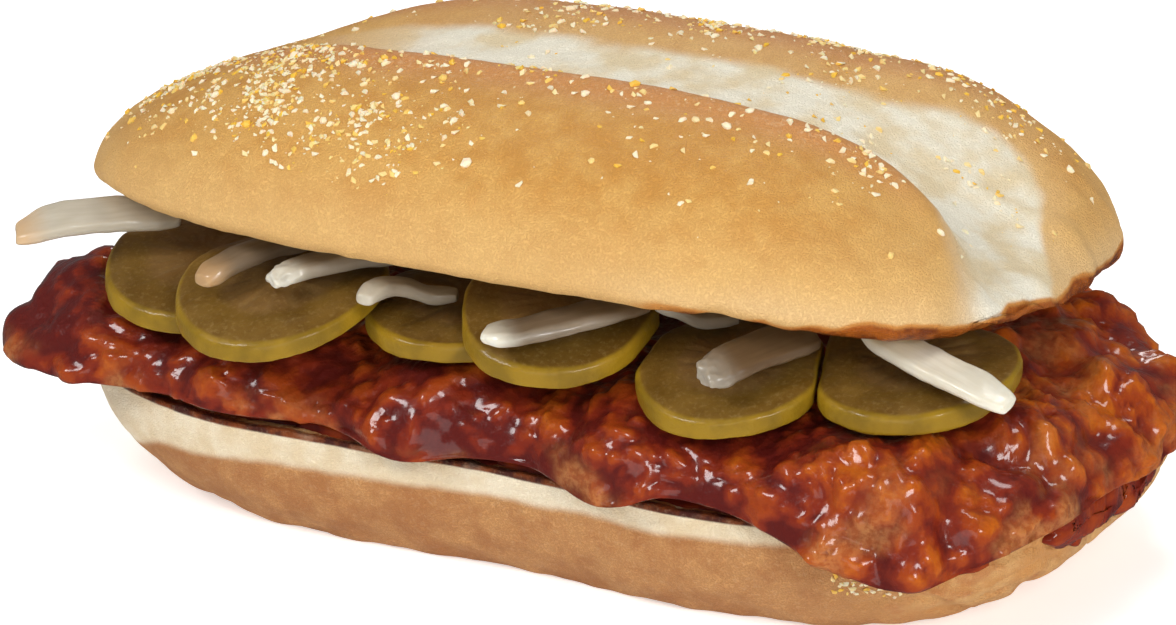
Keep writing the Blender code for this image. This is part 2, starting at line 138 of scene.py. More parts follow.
# Each lamp's name, place in metres, size, power, and whether gloss shows it
LAMPS = [
    ("front_lamp", (0.08, -0.75, 0.78), 0.42, 1.75, False),
    ("low_lamp", (0.2, -0.95, 0.1), 0.4, 0.75, True),
    ("left_lamp", (-0.85, -0.25, 0.5), 0.3, 0.4, False),
    ("right_lamp", (0.8, -0.3, 0.32), 0.22, 1.9, False),
    ("top_lamp", (-0.1, 0.25, 0.9), 0.5, 0.5, False),
    ("back_lamp", (0.1, 0.85, 0.55), 0.5, 0.7, False),
    ("left_glint", (-0.42, -0.62, 0.62), 0.26, 3.2, True),
    ("right_glint", (0.5, -0.5, 0.42), 0.2, 1.9, True),
    ("back_glint", (-0.35, 0.75, 0.55), 0.2, 1.0, True),
    ("high_glint", (0.15, 0.1, 1.0), 0.26, 2.0, True),
]


def add_floor():
    """A plain pale floor under the heel."""
    mesh = bpy.data.meshes.new("floor")
    square = ((-1, -1), (1, -1), (1, 1), (-1, 1))
    mesh.from_pydata([(x * FLOOR_HALF, y * FLOOR_HALF, FLOOR_LEVEL) for x, y in square], [], [(0, 1, 2, 3)])
    floor = placed("floor", mesh)
    material = bpy.data.materials.new("floor_paper")
    material.use_nodes = True
    shader = material.node_tree.nodes["Principled BSDF"]
    for socket, value in FLOOR_PAPER.items():
        shader.inputs[socket].default_value = value
    mesh.materials.append(material)
    floor.visible_glossy = False


def add_lamp(name, place, size, power, seen):
    """A square area lamp at a place in metres, turned to the sandwich; seen tells if gloss shows it."""
    light = bpy.data.lights.new(name, "AREA")
    light.size = size
    light.energy = power
    lamp = placed(name, light)
    lamp.location = place
    turn_to(lamp, LAMP_AIM)
    lamp.visible_glossy = seen


def add_world(strength):
    """A plain white world of one strength."""
    world = bpy.data.worlds.new("studio")
    world.use_nodes = True
    background = world.node_tree.nodes["Background"]
    background.inputs["Color"].default_value = (1, 1, 1, 1)
    background.inputs["Strength"].default_value = strength
    bpy.context.scene.world = world


add_floor()
add_world(WORLD_STRENGTH)
for lamp in LAMPS:
    add_lamp(*lamp)
bpy.context.scene.view_settings.view_transform = "Standard"
bpy.context.scene.view_settings.look = "None"

# %% [markdown]
# ## Small tools for shapes
# Bread and meat have no straight lines, so their shapes are formulas: a rounded oblong outline,
# a height over each place, and smooth noise. NumPy works them out for many points at once. The
# numbers are the solids' own, apart from small corrections that are made later.


# %% Steps, bumps and noise
def smoothstep(low, high, value):
    """0 below low, 1 above high, and a smooth rise between them."""
    t = np.clip((value - low) / (high - low), 0, 1)
    return t * t * (3 - 2 * t)


def bump(distance, reach):
    """1 at no distance, falling smoothly to 0 at reach."""
    t = np.clip(np.abs(distance) / reach, 0, 1)
    return (1 - t * t) ** 2


def heaped(x, y, heaps):
    """The sum of the bumps at their places: x, y, reach and height of each."""
    return sum(h * bump(np.hypot(x - cx, y - cy), r) for cx, cy, r, h in heaps)


def hum(x, y, z, size, seed):
    """Smooth noise from -1 to 1, whose humps are about size apart."""
    x, y, z = np.broadcast_arrays(x, y, z)
    points = np.stack([x / size + seed, y / size - seed, z / size + 2 * seed], -1).reshape(-1, 3)
    return np.array([noise.noise(p) for p in points.tolist()]).reshape(x.shape)


def lumps(x, y, z, size, seed, octaves=3, gain=0.5):
    """Noise upon noise: each octave is half the size and has gain times the height."""
    total = 0
    for k in range(octaves):
        total = total + gain**k * hum(x, y, z, size / 2**k, seed + 3.7 * k)
    return total


# %% [markdown]
# An oblong between an ellipse and a rectangle, a superellipse, is the outline of all three big
# pieces. A swell, given by a function, pushes it out or in. A point's share is 0 in the middle
# and 1 on the outline, so rings of equal share fill the shape like contour lines.


# %% The oblong outline
class Oblong:
    """A rounded oblong outline around the origin."""

    ANGLES = np.linspace(-math.pi, math.pi, 2401)

    def __init__(self, length, width, power, swell):
        self.half = (length / 2, width / 2)
        self.power, self.swell = power, swell
        points = np.stack(self.edge(self.ANGLES), -1)
        self.turn = np.arctan2(points[:, 1], points[:, 0])
        self.turn[0], self.turn[-1] = -math.pi, math.pi
        self.reach = np.hypot(*points.T)
        run = np.hypot(*np.diff(points, axis=0).T).cumsum()
        self.run = np.concatenate([[0], run]) / run[-1]

    def edge(self, angle):
        """The point of the outline at an angle."""
        u, v = np.cos(angle), np.sin(angle)
        size = (np.abs(u) ** self.power + np.abs(v) ** self.power) ** (1 / self.power)
        x, y = u / size * self.half[0], v / size * self.half[1]
        stretch = 1 + self.swell(x, y) / np.hypot(x, y)
        return x * stretch, y * stretch

    def share(self, x, y):
        """How far out a place is: 0 in the middle and 1 on the outline."""
        return np.hypot(x, y) / np.interp(np.arctan2(y, x), self.turn, self.reach)

    def ring(self, count):
        """Points spread evenly along the outline."""
        angle = np.interp(np.arange(count) / count, self.run, self.ANGLES)
        return self.edge(angle)


# %% [markdown]
# A closed body is a stack of rings with a point at each end. Values that a material needs, such
# as how brown the crust is, are stored on the points as named attributes.


# %% Bodies from rings, and painted attributes
def from_bmesh(name, shape):
    """An object made of a bmesh, which is freed."""
    mesh = bpy.data.meshes.new(name)
    shape.to_mesh(mesh)
    shape.free()
    return placed(name, mesh)


def ring_solid(name, first, rings, last):
    """A closed body: a point, the rings in order, and a point. Rings run anticlockwise, upwards."""
    rings = np.asarray(rings)
    count, around = rings.shape[:2]
    points = np.concatenate([rings.reshape(-1, 3), [first, last]])
    grid = np.arange(count * around).reshape(count, around)
    after = np.roll(grid, -1, axis=1)
    quads = np.stack([grid[:-1], after[:-1], after[1:], grid[1:]], -1).reshape(-1, 4)
    low = np.stack([after[0], grid[0], np.full(around, count * around)], -1)
    high = np.stack([grid[-1], after[-1], np.full(around, count * around + 1)], -1)
    mesh = bpy.data.meshes.new(name)
    mesh.from_pydata(points.tolist(), [], quads.tolist() + low.tolist() + high.tolist())
    mesh.shade_smooth()
    return placed(name, mesh)


def places_of(piece):
    """The places of a piece's points, as an array."""
    flat = np.empty(len(piece.data.vertices) * 3)
    piece.data.vertices.foreach_get("co", flat)
    return flat.reshape(-1, 3)


def normals_of(piece):
    """The directions in which a piece's points face."""
    flat = np.empty(len(piece.data.vertices) * 3)
    piece.data.vertex_normals.foreach_get("vector", flat)
    return flat.reshape(-1, 3)


def move_points(piece, places):
    """Give a piece's points new places."""
    piece.data.vertices.foreach_set("co", places.ravel())
    piece.data.update()


def paint(piece, name, values):
    """Store a number on every point of the piece, for its material to read."""
    kept = piece.data.attributes.new(name, "FLOAT", "POINT")
    kept.data.foreach_set("value", np.asarray(values, dtype=np.float32))


def put_on(piece, *nodes, slot, ride="root"):
    """Hand a finished piece to the frame: it rides on the body and stands for the nodes."""
    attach(piece, ride)
    if nodes:
        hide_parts(*nodes)
    print(piece.name, "triangles:", sum(len(f.vertices) - 2 for f in piece.data.polygons))


# %% [markdown]
# ## Small tools for materials
# Colours are written as a painter would read them off a screen, 0 to 255, and turned into the
# linear values that the renderer works in. A few short functions add nodes and join them, so
# that each material reads as a list of what it is made of.


# %% Colours and nodes
def colour(red, green, blue):
    """A screen colour, 0 to 255, as a linear one."""
    linear = [(c / 255 + 0.055) / 1.055 for c in (red, green, blue)]
    return tuple(c**2.4 if c > 0.09 else c * 0.0812 for c in linear) + (1,)


# %% [markdown]
# A material is a tree of nodes. This class writes it down as a maker would say it: noise whose
# humps are so wide, a value spread over a range, one colour changing softly into another.


# %% A way to write down nodes
class Paint:
    """A material, or a node group, that is being put together."""

    def __init__(self, tree):
        self.tree = tree

    def add(self, kind, inputs=(), **settings):
        """A node with its settings, and with its inputs fed."""
        made = self.tree.nodes.new(kind)
        for name, value in settings.items():
            setattr(made, name, value)
        for key, value in dict(inputs).items():
            self.feed(made.inputs[key], value)
        return made

    def node(self, kind, inputs=(), **settings):
        """A node whose kind starts with ShaderNode."""
        return self.add("ShaderNode" + kind, inputs, **settings)

    def feed(self, socket, value):
        """Link value to a socket if it is an output, or set it if it is a number or colour."""
        if isinstance(value, bpy.types.NodeSocket):
            self.tree.links.new(value, socket)
        else:
            socket.default_value = value

    def here(self):
        """The place on the object, in metres."""
        return self.node("TexCoord").outputs["Object"]

    def painted(self, name):
        """The number that was painted on the points under this name."""
        return self.node("Attribute", attribute_name=name).outputs["Fac"]

    def grain(self, size, detail=3.0, rough=0.5, at=None, warp=0.0):
        """Noise, 0 to 1, whose humps are about size apart."""
        inputs = {"Vector": at or self.here(), "Scale": 1 / size, "Detail": detail, "Roughness": rough}
        return self.node("TexNoise", inputs | {"Distortion": warp}).outputs["Fac"]

    def cells(self, size, smooth=0.4):
        """Distance to the nearest of many points about size apart, smoothed."""
        inputs = {"Vector": self.here(), "Scale": 1 / size, "Smoothness": smooth}
        return self.node("TexVoronoi", inputs, feature="SMOOTH_F1").outputs["Distance"]

    def between(self, value, low, high, to_low=0.0, to_high=1.0):
        """Value taken from the range low to high and spread over the range to_low to to_high."""
        inputs = {"Value": value, "From Min": low, "From Max": high, "To Min": to_low, "To Max": to_high}
        return self.node("MapRange", inputs, interpolation_type="SMOOTHSTEP").outputs["Result"]

    def sum(self, *values, operation="ADD"):
        """The values added up, or joined by another operation."""
        total = values[0]
        for value in values[1:]:
            total = self.node("Math", {0: total, 1: value}, operation=operation).outputs[0]
        return total

    def times(self, *values):
        """The values multiplied."""
        return self.sum(*values, operation="MULTIPLY")

    def blend(self, share, first, second):
        """Colour first where share is 0 and second where it is 1. Each is an output or a screen colour."""
        mix = self.node("Mix", {0: share}, data_type="RGBA")
        for socket, value in ((6, first), (7, second)):
            self.feed(mix.inputs[socket], colour(*value) if isinstance(value, tuple) else value)
        return mix.outputs[2]

    def shade(self, value, low, high, first, second):
        """Colour first where value is low, second where it is high, and a soft change between them."""
        return self.blend(self.between(value, low, high), first, second)

    def relief(self, height, depth):
        """A surface normal bent by a height, which is depth metres from 0 to 1."""
        return self.node("Bump", {"Height": height, "Distance": depth, "Strength": 1.0}).outputs["Normal"]

    def finish(self, **sockets):
        """Feed the shader's sockets, named with _ for a space, and give the material back."""
        for key, value in sockets.items():
            self.feed(self.shader.inputs[key.replace("_", " ")], value)
        return self.material


# %% [markdown]
# Every finish starts from one Principled shader, with its plain values set on its own sockets. A
# finish that two materials share is a node group, which puts out colours, masks and heights.


# %% New materials and groups
def new_material(name, **sockets):
    """A material with a Principled shader and the values that are the same all over it."""
    material = bpy.data.materials.new(name)
    material.use_nodes = True
    made = Paint(material.node_tree)
    made.shader = material.node_tree.nodes["Principled BSDF"]
    made.material = material
    made.finish(**sockets)
    return made


def new_group(name, inputs, outputs):
    """A node group: inputs give each number's usual value, and outputs each socket's kind."""
    group = bpy.data.node_groups.new(name, "ShaderNodeTree")
    for socket, kind in outputs.items():
        group.interface.new_socket(socket, in_out="OUTPUT", socket_type="NodeSocket" + kind)
    for socket, usual in inputs.items():
        taken = group.interface.new_socket(socket, in_out="INPUT", socket_type="NodeSocketFloat")
        taken.default_value = usual
    made = Paint(group)
    made.inside = made.add("NodeGroupInput").outputs
    made.outside = made.add("NodeGroupOutput").inputs
    return made


# %% [markdown]
# ## Shared finish: baked dough
# Both halves of the roll are the same dough. Its crust isn't one colour: it has soft clouds of
# darker and paler brown, pale speckles of flour, and a fine sandy grain all over. Crown and heel
# both use this, so it is one node group, with outputs for the clouds, the speckles, the sandy
# dots and the height of the surface.


# %% The dough group
def dough_group():
    outputs = dict.fromkeys(("Clouds", "Speckles", "Dots", "Height"), "Float")
    made = new_group("baked_dough", {"Size": 1.0}, outputs)
    scaled = made.node("VectorMath", {0: made.here(), "Scale": made.inside["Size"]}, operation="SCALE")
    at = scaled.outputs[0]
    wide = made.times(made.grain(14 * MM, 4, 0.6, at=at), 0.65)
    clouds = made.sum(wide, made.times(made.grain(3.5 * MM, 3, 0.6, at=at), 0.35))
    speckles = made.between(made.grain(0.7 * MM, 3, 0.65, at=at), 0.52, 0.72)
    dots = made.between(made.grain(0.25 * MM, 2, 0.6, at=at), 0.36, 0.64)
    wrinkles = made.grain(1.8 * MM, 5, 0.62, at=at, warp=0.5)
    height = made.sum(made.times(wrinkles, 0.6), made.times(dots, 0.4))
    for name, value in zip(outputs, (clouds, speckles, dots, height)):
        made.feed(made.outside[name], value)
    return made.tree


def add_dough(made):
    """Put the group into a material, and give back its four outputs."""
    return made.node("Group", node_tree=DOUGH).outputs.values()


DOUGH = dough_group()
print("groups:", [g.name for g in bpy.data.node_groups])

# %% [markdown]
# ## Heel
# The heel is the lower half of the roll: a flat foot, bowed sides and a flat cut face. Its sides
# stayed pale and soft in a band under the cut, where the dough touched its neighbour in the
# oven, and are brown below. The solid's formula is run again on a much finer grid, and the sides
# get the shallow dents and creases of soft bread.

# %% The heel's shape
HEEL_LENGTH = 133 * MM
HEEL_WIDTH = 75 * MM
HEEL_HEIGHT = 15.4 * MM
HEEL_FOOT = 0.8
HEEL_BOW = 2.6
HEEL_LIP = 0.5 * MM
HEEL_WAVE = 0.3 * MM


def heel_swell(x, y):
    waist = -1.6 * MM * bump(x - 4 * MM, 22 * MM) + 1.8 * MM * bump(x + 38 * MM, 20 * MM)
    return waist + 0.6 * MM * hum(x, y, 0, 22 * MM, 3)


HEEL = Oblong(HEEL_LENGTH, HEEL_WIDTH, power=3.6, swell=heel_swell)


def heel_top(x, y):
    """The heel's cut face: nearly flat, with a slightly raised and wavy rim."""
    share = HEEL.share(x, y)
    lip = HEEL_LIP * smoothstep(0.82, 0.95, share)
    return HEEL_HEIGHT - HEEL_LIP + lip + HEEL_WAVE * hum(x, y, 0, 17 * MM, 8) * share


def side_share(rise):
    """How far out the heel's bowed side is at a rise from 0, the floor, to 1, the cut."""
    return 1 - (1 - HEEL_FOOT) * (1 - rise) ** HEEL_BOW


def build_heel(around=520):
    x, y = HEEL.ring(around)
    rings, rises = [], []
    for share in np.linspace(0.1, 0.985, 10):
        rings.append(np.stack([x * HEEL_FOOT * share, y * HEEL_FOOT * share, np.zeros(around)], -1))
        rises.append(0.0)
    for rise in (*np.linspace(0.01, 0.9, 50), 0.92, 0.935, 0.95, 0.965, 0.98):
        share = side_share(rise)
        rings.append(np.stack([x * share, y * share, rise * heel_top(x * share, y * share)], -1))
        rises.append(rise)
    for share in (0.996, 0.988, 0.976, *np.linspace(0.96, 0.05, 40)):
        rings.append(np.stack([x * share, y * share, heel_top(x * share, y * share)], -1))
        rises.append(1.0 + (1 - share))
    middle = float(heel_top(np.array(0.001), np.array(0.0)))
    heel = ring_solid("heel", (0, 0, 0), rings, (0, 0, middle))
    rise = np.concatenate([np.repeat(rises, around), [0.0, 2.0]])
    return heel, rise


heel, heel_rise = build_heel()
print("heel points:", len(heel.data.vertices))

# %% [markdown]
# The border between the pale band and the crust climbs from the floor at the far end to the rim
# at the near end, so it is a line of heights along the roll. The foot's edge is lumpy, as bread
# is that was baked on a tray, and the near end is creased where it was pressed.

# %% The heel's relief and paint
BAND_BORDER = np.array([
    (-63, -0.1),
    (-54, 0.42),
    (-45, 0.62),
    (-30, 0.71),
    (0, 0.755),
    (20, 0.79),
    (35, 0.81),
    (50, 0.88),
    (62, 1.02),
])
places, normals = places_of(heel), normals_of(heel)
x, y, z = places.T
side = smoothstep(0.02, 0.15, heel_rise) * (1 - smoothstep(0.9, 1.0, heel_rise))
foot = bump(heel_rise - 0.1, 0.3) * (heel_rise > 0.0)
near_end = smoothstep(38 * MM, 60 * MM, x)
dents = 0.30 * MM * lumps(x, y, z, 9 * MM, 41, 3) * side
dents = dents + 0.55 * MM * lumps(x, y, 0, 6 * MM, 42, 2) * foot
creases = -0.65 * MM * bump(lumps(x * 0.5, y * 0.5, z, 5 * MM, 47, 2), 0.28) * side
creases = creases * (0.15 + 0.85 * near_end)
crumb_face = smoothstep(1.0, 1.03, heel_rise)
pores = -0.30 * MM * np.abs(lumps(x, y, z, 2.2 * MM, 43, 2)) * crumb_face
wavy_rim = 0.25 * MM * lumps(x, y, 0, 3.5 * MM, 48, 2) * bump(heel_rise - 1.0, 0.09)
move_points(heel, places + normals * (dents + creases + pores + wavy_rim)[:, None])
border = np.interp(x / MM, BAND_BORDER[:, 0], BAND_BORDER[:, 1]) + 0.035 * lumps(x, y, 0, 9 * MM, 45, 3)
paint(heel, "pale_band", smoothstep(border - 0.035, border + 0.05, heel_rise) * (1 - crumb_face))
paint(heel, "cut_face", crumb_face)
paint(heel, "rim", smoothstep(0.94, 0.98, heel_rise) * (1 - smoothstep(1.015, 1.05, heel_rise)))
paint(heel, "near_end", near_end)
print("heel relief in mm:", round(float(dents.min() / MM), 2), "to", round(float(dents.max() / MM), 2))

# %% [markdown]
# The heel's material mixes three breads: brown crust low on the side, the pale band, and the
# toasted crumb of the cut face with a darker line along the cut. The boundary wanders, because
# the band is painted with noise in it.


# %% The heel's material
def heel_material():
    made = new_material("heel_bread", Roughness=0.62, Specular_IOR_Level=0.35)
    clouds, speckles, dots, height = add_dough(made)
    crust = made.shade(clouds, 0.36, 0.62, (180, 120, 68), (204, 150, 92))
    crust = made.blend(made.times(dots, 0.5), crust, (166, 106, 56))
    # Toward the near end the crust is golden and painted lighter still, as painted light where the patty's
    # shadow falls.
    golden = made.shade(clouds, 0.4, 0.6, (230, 182, 118), (212, 150, 82))
    crust = made.blend(made.times(made.painted("near_end"), 0.7), crust, golden)
    spots = made.between(made.grain(5 * MM, 4, 0.6), 0.5, 0.66)
    crust = made.blend(made.times(spots, made.painted("near_end"), 0.55), crust, (184, 104, 46))
    pale = made.shade(clouds, 0.35, 0.65, (228, 206, 168), (242, 229, 202))
    pale = made.blend(made.times(dots, 0.2), pale, (214, 186, 142))
    base = made.blend(made.painted("pale_band"), crust, pale)
    crumb = made.shade(made.grain(5 * MM, 4), 0.4, 0.6, (230, 180, 118), (192, 118, 54))
    crumb = made.shade(made.grain(1.6 * MM, 3), 0.5, 0.7, crumb, (150, 80, 34))
    crumb = made.shade(made.grain(2.2 * MM, 4, 0.7), 0.56, 0.64, crumb, (232, 206, 166))
    base = made.blend(made.painted("cut_face"), base, crumb)
    broken = made.between(made.grain(5 * MM, 4, 0.6), 0.3, 0.5, 0.85, 1.0)
    rim = made.times(made.between(made.painted("rim"), 0.15, 0.8), broken)
    toasted = made.shade(made.grain(3 * MM, 3), 0.42, 0.6, (76, 30, 8), (130, 62, 18))
    base = made.blend(rim, base, toasted)
    base = made.blend(made.times(speckles, 0.12), base, (240, 214, 170))
    return made.finish(Base_Color=base, Normal=made.relief(height, 0.3 * MM))


heel.data.materials.append(heel_material())

# %% [markdown]
# ## Crown
# The crown is the upper half: a dome that is widest just above the cut, with a score along its
# top. The baker's cut opened in the oven, so the front lobe ends in a sharp lip, and behind it
# lies a valley of pale crumb that rises to the back lobe and runs down over the near end. The
# score's two borders are lines on a plan of the crown. Each row has a place along the crown, and
# where the front border and the back border are there.

# %% The crown's shape
CROWN_LENGTH = 127 * MM
CROWN_WIDTH = 82 * MM
CROWN_HEIGHT = 22.4 * MM
CROWN_PLACE = Vector((-2.4 * MM, -1 * MM, 36.5 * MM))
CROWN_TILT = math.radians(-4.9)
BELLY_HEIGHT = 2.6 * MM
CUT_SHARE = 0.955
END_DROP = 2.8 * MM
NEAR_SAG = 2.0 * MM
UNDERSIDE_ARCH = 1.6 * MM
SCORE_DEPTH = 5.6 * MM
SCORE_START = -52 * MM
SCORE_BORDERS = np.array([
    (-60, -6, 2),
    (-40, -15, 5),
    (-22, -18, 7),
    (0, -18, 5),
    (28, -17, 7),
    (38, -14, 11),
    (45, -12, 16),
    (52, -14, 13),
    (58, -20, 4),
    (63, -25, -6),
]) * MM
CROWN_HEAPS = np.array([
    (44, 18, 21, 3.0),
    (62, -2, 9, -1.2),
    (-60, -24, 12, -1.0),
]) * MM


def crown_swell(x, y):
    return 0.8 * MM * hum(x, y, 0, 30 * MM, 5)


CROWN = Oblong(CROWN_LENGTH, CROWN_WIDTH, power=3.0, swell=crown_swell)


def score_border(x, side):
    """The y of the score's front border, side 1, or its back border, side 2."""
    steps = np.array((-4, -2, 0, 2, 4)) * MM
    lines = [np.interp(x + s, SCORE_BORDERS[:, 0], SCORE_BORDERS[:, side]) for s in steps]
    return np.mean(lines, axis=0)


def score_across(x, y):
    """Where a place lies across the score: 0 at its front border and 1 at its back border."""
    front, back = score_border(x, 1), score_border(x, 2)
    return (y - front) / (back - front)


def score_open(x, y):
    """How deep the score is, from 0 to 1."""
    across = score_across(x, y)
    fall = smoothstep(-0.12, 0.28, across)
    rise = 1 - smoothstep(0.4, 1.4, across)
    return fall * rise * smoothstep(SCORE_START, SCORE_START + 26 * MM, x)


def crown_top(x, y, share):
    """The crown's outer face above its belly."""
    dome = np.maximum(0, 1 - share**2.6) ** 0.588
    height = BELLY_HEIGHT + (CROWN_HEIGHT - BELLY_HEIGHT) * dome
    fade = smoothstep(0.0, 0.75, dome)
    valley = SCORE_DEPTH * score_open(x, y) * (0.25 + 0.75 * fade)
    uneven = 0.7 * MM * hum(x, y, 0, 28 * MM, 11) * fade
    ends = END_DROP * smoothstep(22 * MM, 62 * MM, np.abs(x)) * fade
    return height - valley - ends + uneven


def near_sag(x):
    return NEAR_SAG * smoothstep(30 * MM, 62 * MM, x)


def build_crown(around=520):
    x, y = CROWN.ring(around)
    rings, levels = [], []
    for share in np.linspace(0.04, 0.94, 22):
        px, py = x * share * CUT_SHARE / 0.94, y * share * CUT_SHARE / 0.94
        arch = UNDERSIDE_ARCH * (1 - share**2) + 0.35 * MM * hum(px, py, 0, 13 * MM, 21) * share
        rings.append(np.stack([px, py, arch], -1))
        levels.append(-1.0 + share)
    for share, rise in ((0.966, 0.1), (0.978, 0.25), (0.988, 0.42), (0.996, 0.6), (0.999, 0.8)):
        rings.append(np.stack([x * share, y * share, np.full(around, rise * BELLY_HEIGHT)], -1))
        levels.append(rise * 0.04)
    bend = np.sin(np.linspace(0, math.pi / 2, 130)[1:-1])
    for share in (1.0, *(np.sqrt(1 - bend**2))):
        rings.append(np.stack([x * share, y * share, crown_top(x * share, y * share, share)], -1))
        levels.append(0.05 + 1 - share)
    middle = float(crown_top(np.array(0.0), np.array(0.0), 0.0))
    crown = ring_solid("crown", (0, 0, UNDERSIDE_ARCH), rings, (0, 0, middle))
    return crown, np.concatenate([np.repeat(levels, around), [-1.0, 1.05]])


crown, crown_level = build_crown()
print("crown points:", len(crown.data.vertices))

# %% [markdown]
# The lip of the front lobe is sharper than the solid shows: a small ridge is added along the
# score's front border, and the crumb behind it gets its torn strands and pores. The near shoulder
# is heaped up, the tip drawn in, and the near end's cut edge folded. What the material needs is
# painted on: crumb, pale dough, toast along the lobes, the sauce's stain and the underside.
# The arrays x, y and z show the places in flat, so they follow each move of its points.

# %% The crown's relief and paint
flat, normals = places_of(crown), normals_of(crown)
x, y, z = flat.T
across = score_across(x, y)
ahead, behind = score_border(x, 1) - y, y - score_border(x, 2)
started = smoothstep(SCORE_START + 6 * MM, SCORE_START + 30 * MM, x)
outer = smoothstep(0.0, 0.04, crown_level)
wander = 0.05 * lumps(x, y, z, 7 * MM, 51, 3)
blurred = 0.22 * smoothstep(46 * MM, 58 * MM, x)
crumb = smoothstep(-0.01 - blurred, 0.05 + blurred, across + 0.25 * wander)
crumb = crumb * (1 - smoothstep(0.86, 0.98, across + wander))
crumb = crumb * started * outer
share = np.maximum(CROWN.share(x, y), 0.05)
rim_x, rim_y = x / share, y / share
near_end = smoothstep(12 * MM, 36 * MM, x) * (1 - smoothstep(22 * MM, 34 * MM, y))
cut = bump(crown_level - 0.03, 0.24)
lip = 0.8 * MM * bump(across + 0.04, 0.16) * started * smoothstep(0.1, 0.4, crown_level)
strands = 0.22 * MM * lumps(x * 0.4, y, z, 2.8 * MM, 53, 3) + 0.10 * MM * hum(x, y, z, 1.1 * MM, 54)
strands = strands * crumb
skin = 0.12 * MM * lumps(x, y, z, 6 * MM, 55, 3) * outer * (1 - crumb)
folds = 0.42 * MM * hum(rim_x, rim_y, 0, 3.4 * MM, 57) + 0.55 * MM * hum(rim_x, rim_y, z * 0.4, 7 * MM, 58)
folds = folds * near_end * cut
puckers = 0.14 * MM * lumps(x, y * 0.6, z, 3.2 * MM, 56, 2) * cut
flat[:, 0] -= 1.7 * MM * smoothstep(50 * MM, 63 * MM, x)
flat[:, 2] -= near_sag(x)
flat[:, 2] += heaped(x, y, CROWN_HEAPS) * outer
flat += normals * (lip + strands + skin + folds + puckers)[:, None]
flat[:, 2] += 0.45 * MM * hum(rim_x, rim_y, 0, 4 * MM, 59) * near_end * bump(crown_level - 0.02, 0.12)
front_toast = bump(ahead - 2.2 * MM, 7 * MM) * (1 - smoothstep(44 * MM, 54 * MM, x))
back_toast = smoothstep(0.5 * MM, 6.5 * MM, behind) * (1 - 0.3 * smoothstep(34 * MM, 52 * MM, x))
toast = (front_toast + back_toast) * smoothstep(-58 * MM, -34 * MM, x) * smoothstep(0.10, 0.4, crown_level)
low_edge = z + 0.3 * MM + 1.3 * MM * lumps(rim_x, rim_y, 0, 8 * MM, 60, 3)
paint(crown, "crumb", crumb)
near_skirt = near_end * (1 - smoothstep(0.5 * MM, 6 * MM, z + 1.5 * MM * hum(x, y, 0, 9 * MM, 62)))
far_skirt = smoothstep(0.7, 0.9, across + wander) * started
far_skirt = far_skirt * (1 - smoothstep(0.9, 1.4, across + 2 * wander))
paint(crown, "pale_dough", np.clip(0.8 * near_skirt + 0.5 * far_skirt, 0, 1) * outer)
paint(crown, "toast", np.clip(toast, 0, 1) * (1 - crumb))
# Paler low down: painted light, for the light that the pale floor throws up.
paint(crown, "low", 1 - smoothstep(2 * MM, 13 * MM, z))
wetted = smoothstep(16 * MM, 36 * MM, x) * near_end * smoothstep(-0.06, 0.0, crown_level)
paint(crown, "stain", (1 - smoothstep(0.1 * MM, 1.9 * MM, low_edge)) * wetted)
paint(crown, "underside", 1 - smoothstep(-0.06, 0.0, crown_level))
crown_turn = Matrix.Translation(CROWN_PLACE) @ Matrix.Rotation(CROWN_TILT, 4, "X")


def seat(piece, turn=Matrix.Identity(4)):
    """Put a piece drawn around the heel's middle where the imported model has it."""
    piece.data.transform(Matrix.Translation(HOME) @ turn)
    piece.data.update()


# %% [markdown]
# The crust is gold on the front and browner along the crests, as the oven left it. Low down it is
# painted paler, which is painted light for the glow thrown up from the pale floor. The crumb is cream
# with faint grey-gold shadows, and it stays matt, where the crust has the low gloss of baked starch.


# %% The crown's material
def crown_material():
    made = new_material("crown_bread", Specular_IOR_Level=0.3)
    clouds, speckles, dots, height = add_dough(made)
    gold = made.shade(clouds, 0.36, 0.64, (210, 151, 72), (226, 175, 97))
    # The paler colour low down is painted light from below.
    gold = made.blend(made.times(made.painted("low"), 0.7), gold, (228, 187, 122))
    toast = made.times(made.painted("toast"), made.between(clouds, 0.3, 0.58, 0.55, 1.0))
    gold = made.blend(toast, gold, (210, 146, 88))
    gold = made.blend(made.times(made.painted("pale_dough"), 0.8), gold, (230, 196, 144))
    gold = made.blend(made.times(dots, 0.24), gold, (168, 106, 50))
    cream = made.shade(made.grain(7 * MM, 4), 0.38, 0.64, (244, 237, 218), (230, 210, 172))
    cream = made.blend(made.times(dots, 0.22), cream, (208, 196, 168))
    base = made.blend(made.painted("crumb"), gold, cream)
    base = made.blend(made.times(speckles, made.painted("toast"), 0.4), base, (232, 204, 164))
    patchy = made.times(made.sum(made.grain(1.3 * MM, 3, 0.6), -0.5), 0.5, made.painted("stain"))
    wet = made.sum(made.painted("stain"), patchy)
    soaked = made.shade(made.grain(3 * MM, 3), 0.4, 0.62, (166, 88, 24), (116, 52, 14))
    base = made.shade(wet, 0.08, 0.4, base, (204, 138, 66))
    base = made.shade(wet, 0.35, 0.8, base, soaked)
    base = made.blend(made.painted("underside"), base, (222, 184, 128))
    matt = made.between(made.painted("crumb"), 0.0, 1.0, 0.52, 0.8)
    rough = made.sum(matt, made.times(made.painted("stain"), -0.25))
    return made.finish(Base_Color=base, Roughness=rough, Normal=made.relief(height, 0.26 * MM))


crown.data.materials.append(crown_material())

# %% [markdown]
# ## Cornmeal
# Coarse cornmeal sticks to the crown, thickest at the far end and along the lobes. The largest
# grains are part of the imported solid, so the same seeded rule puts them here in the same places.
# The hundreds of finer grains are scattered by Geometry Nodes: points over the surface with a
# painted density, one small grain on each point, turned and sized at random, then realized.


# %% The largest grains
GRAIN_COUNT = 72
GRAIN_SIZES = (1.2 * MM, 1.9 * MM)
GRAIN_GAP = 3.4 * MM
GRAIN_TRIM = 0.78


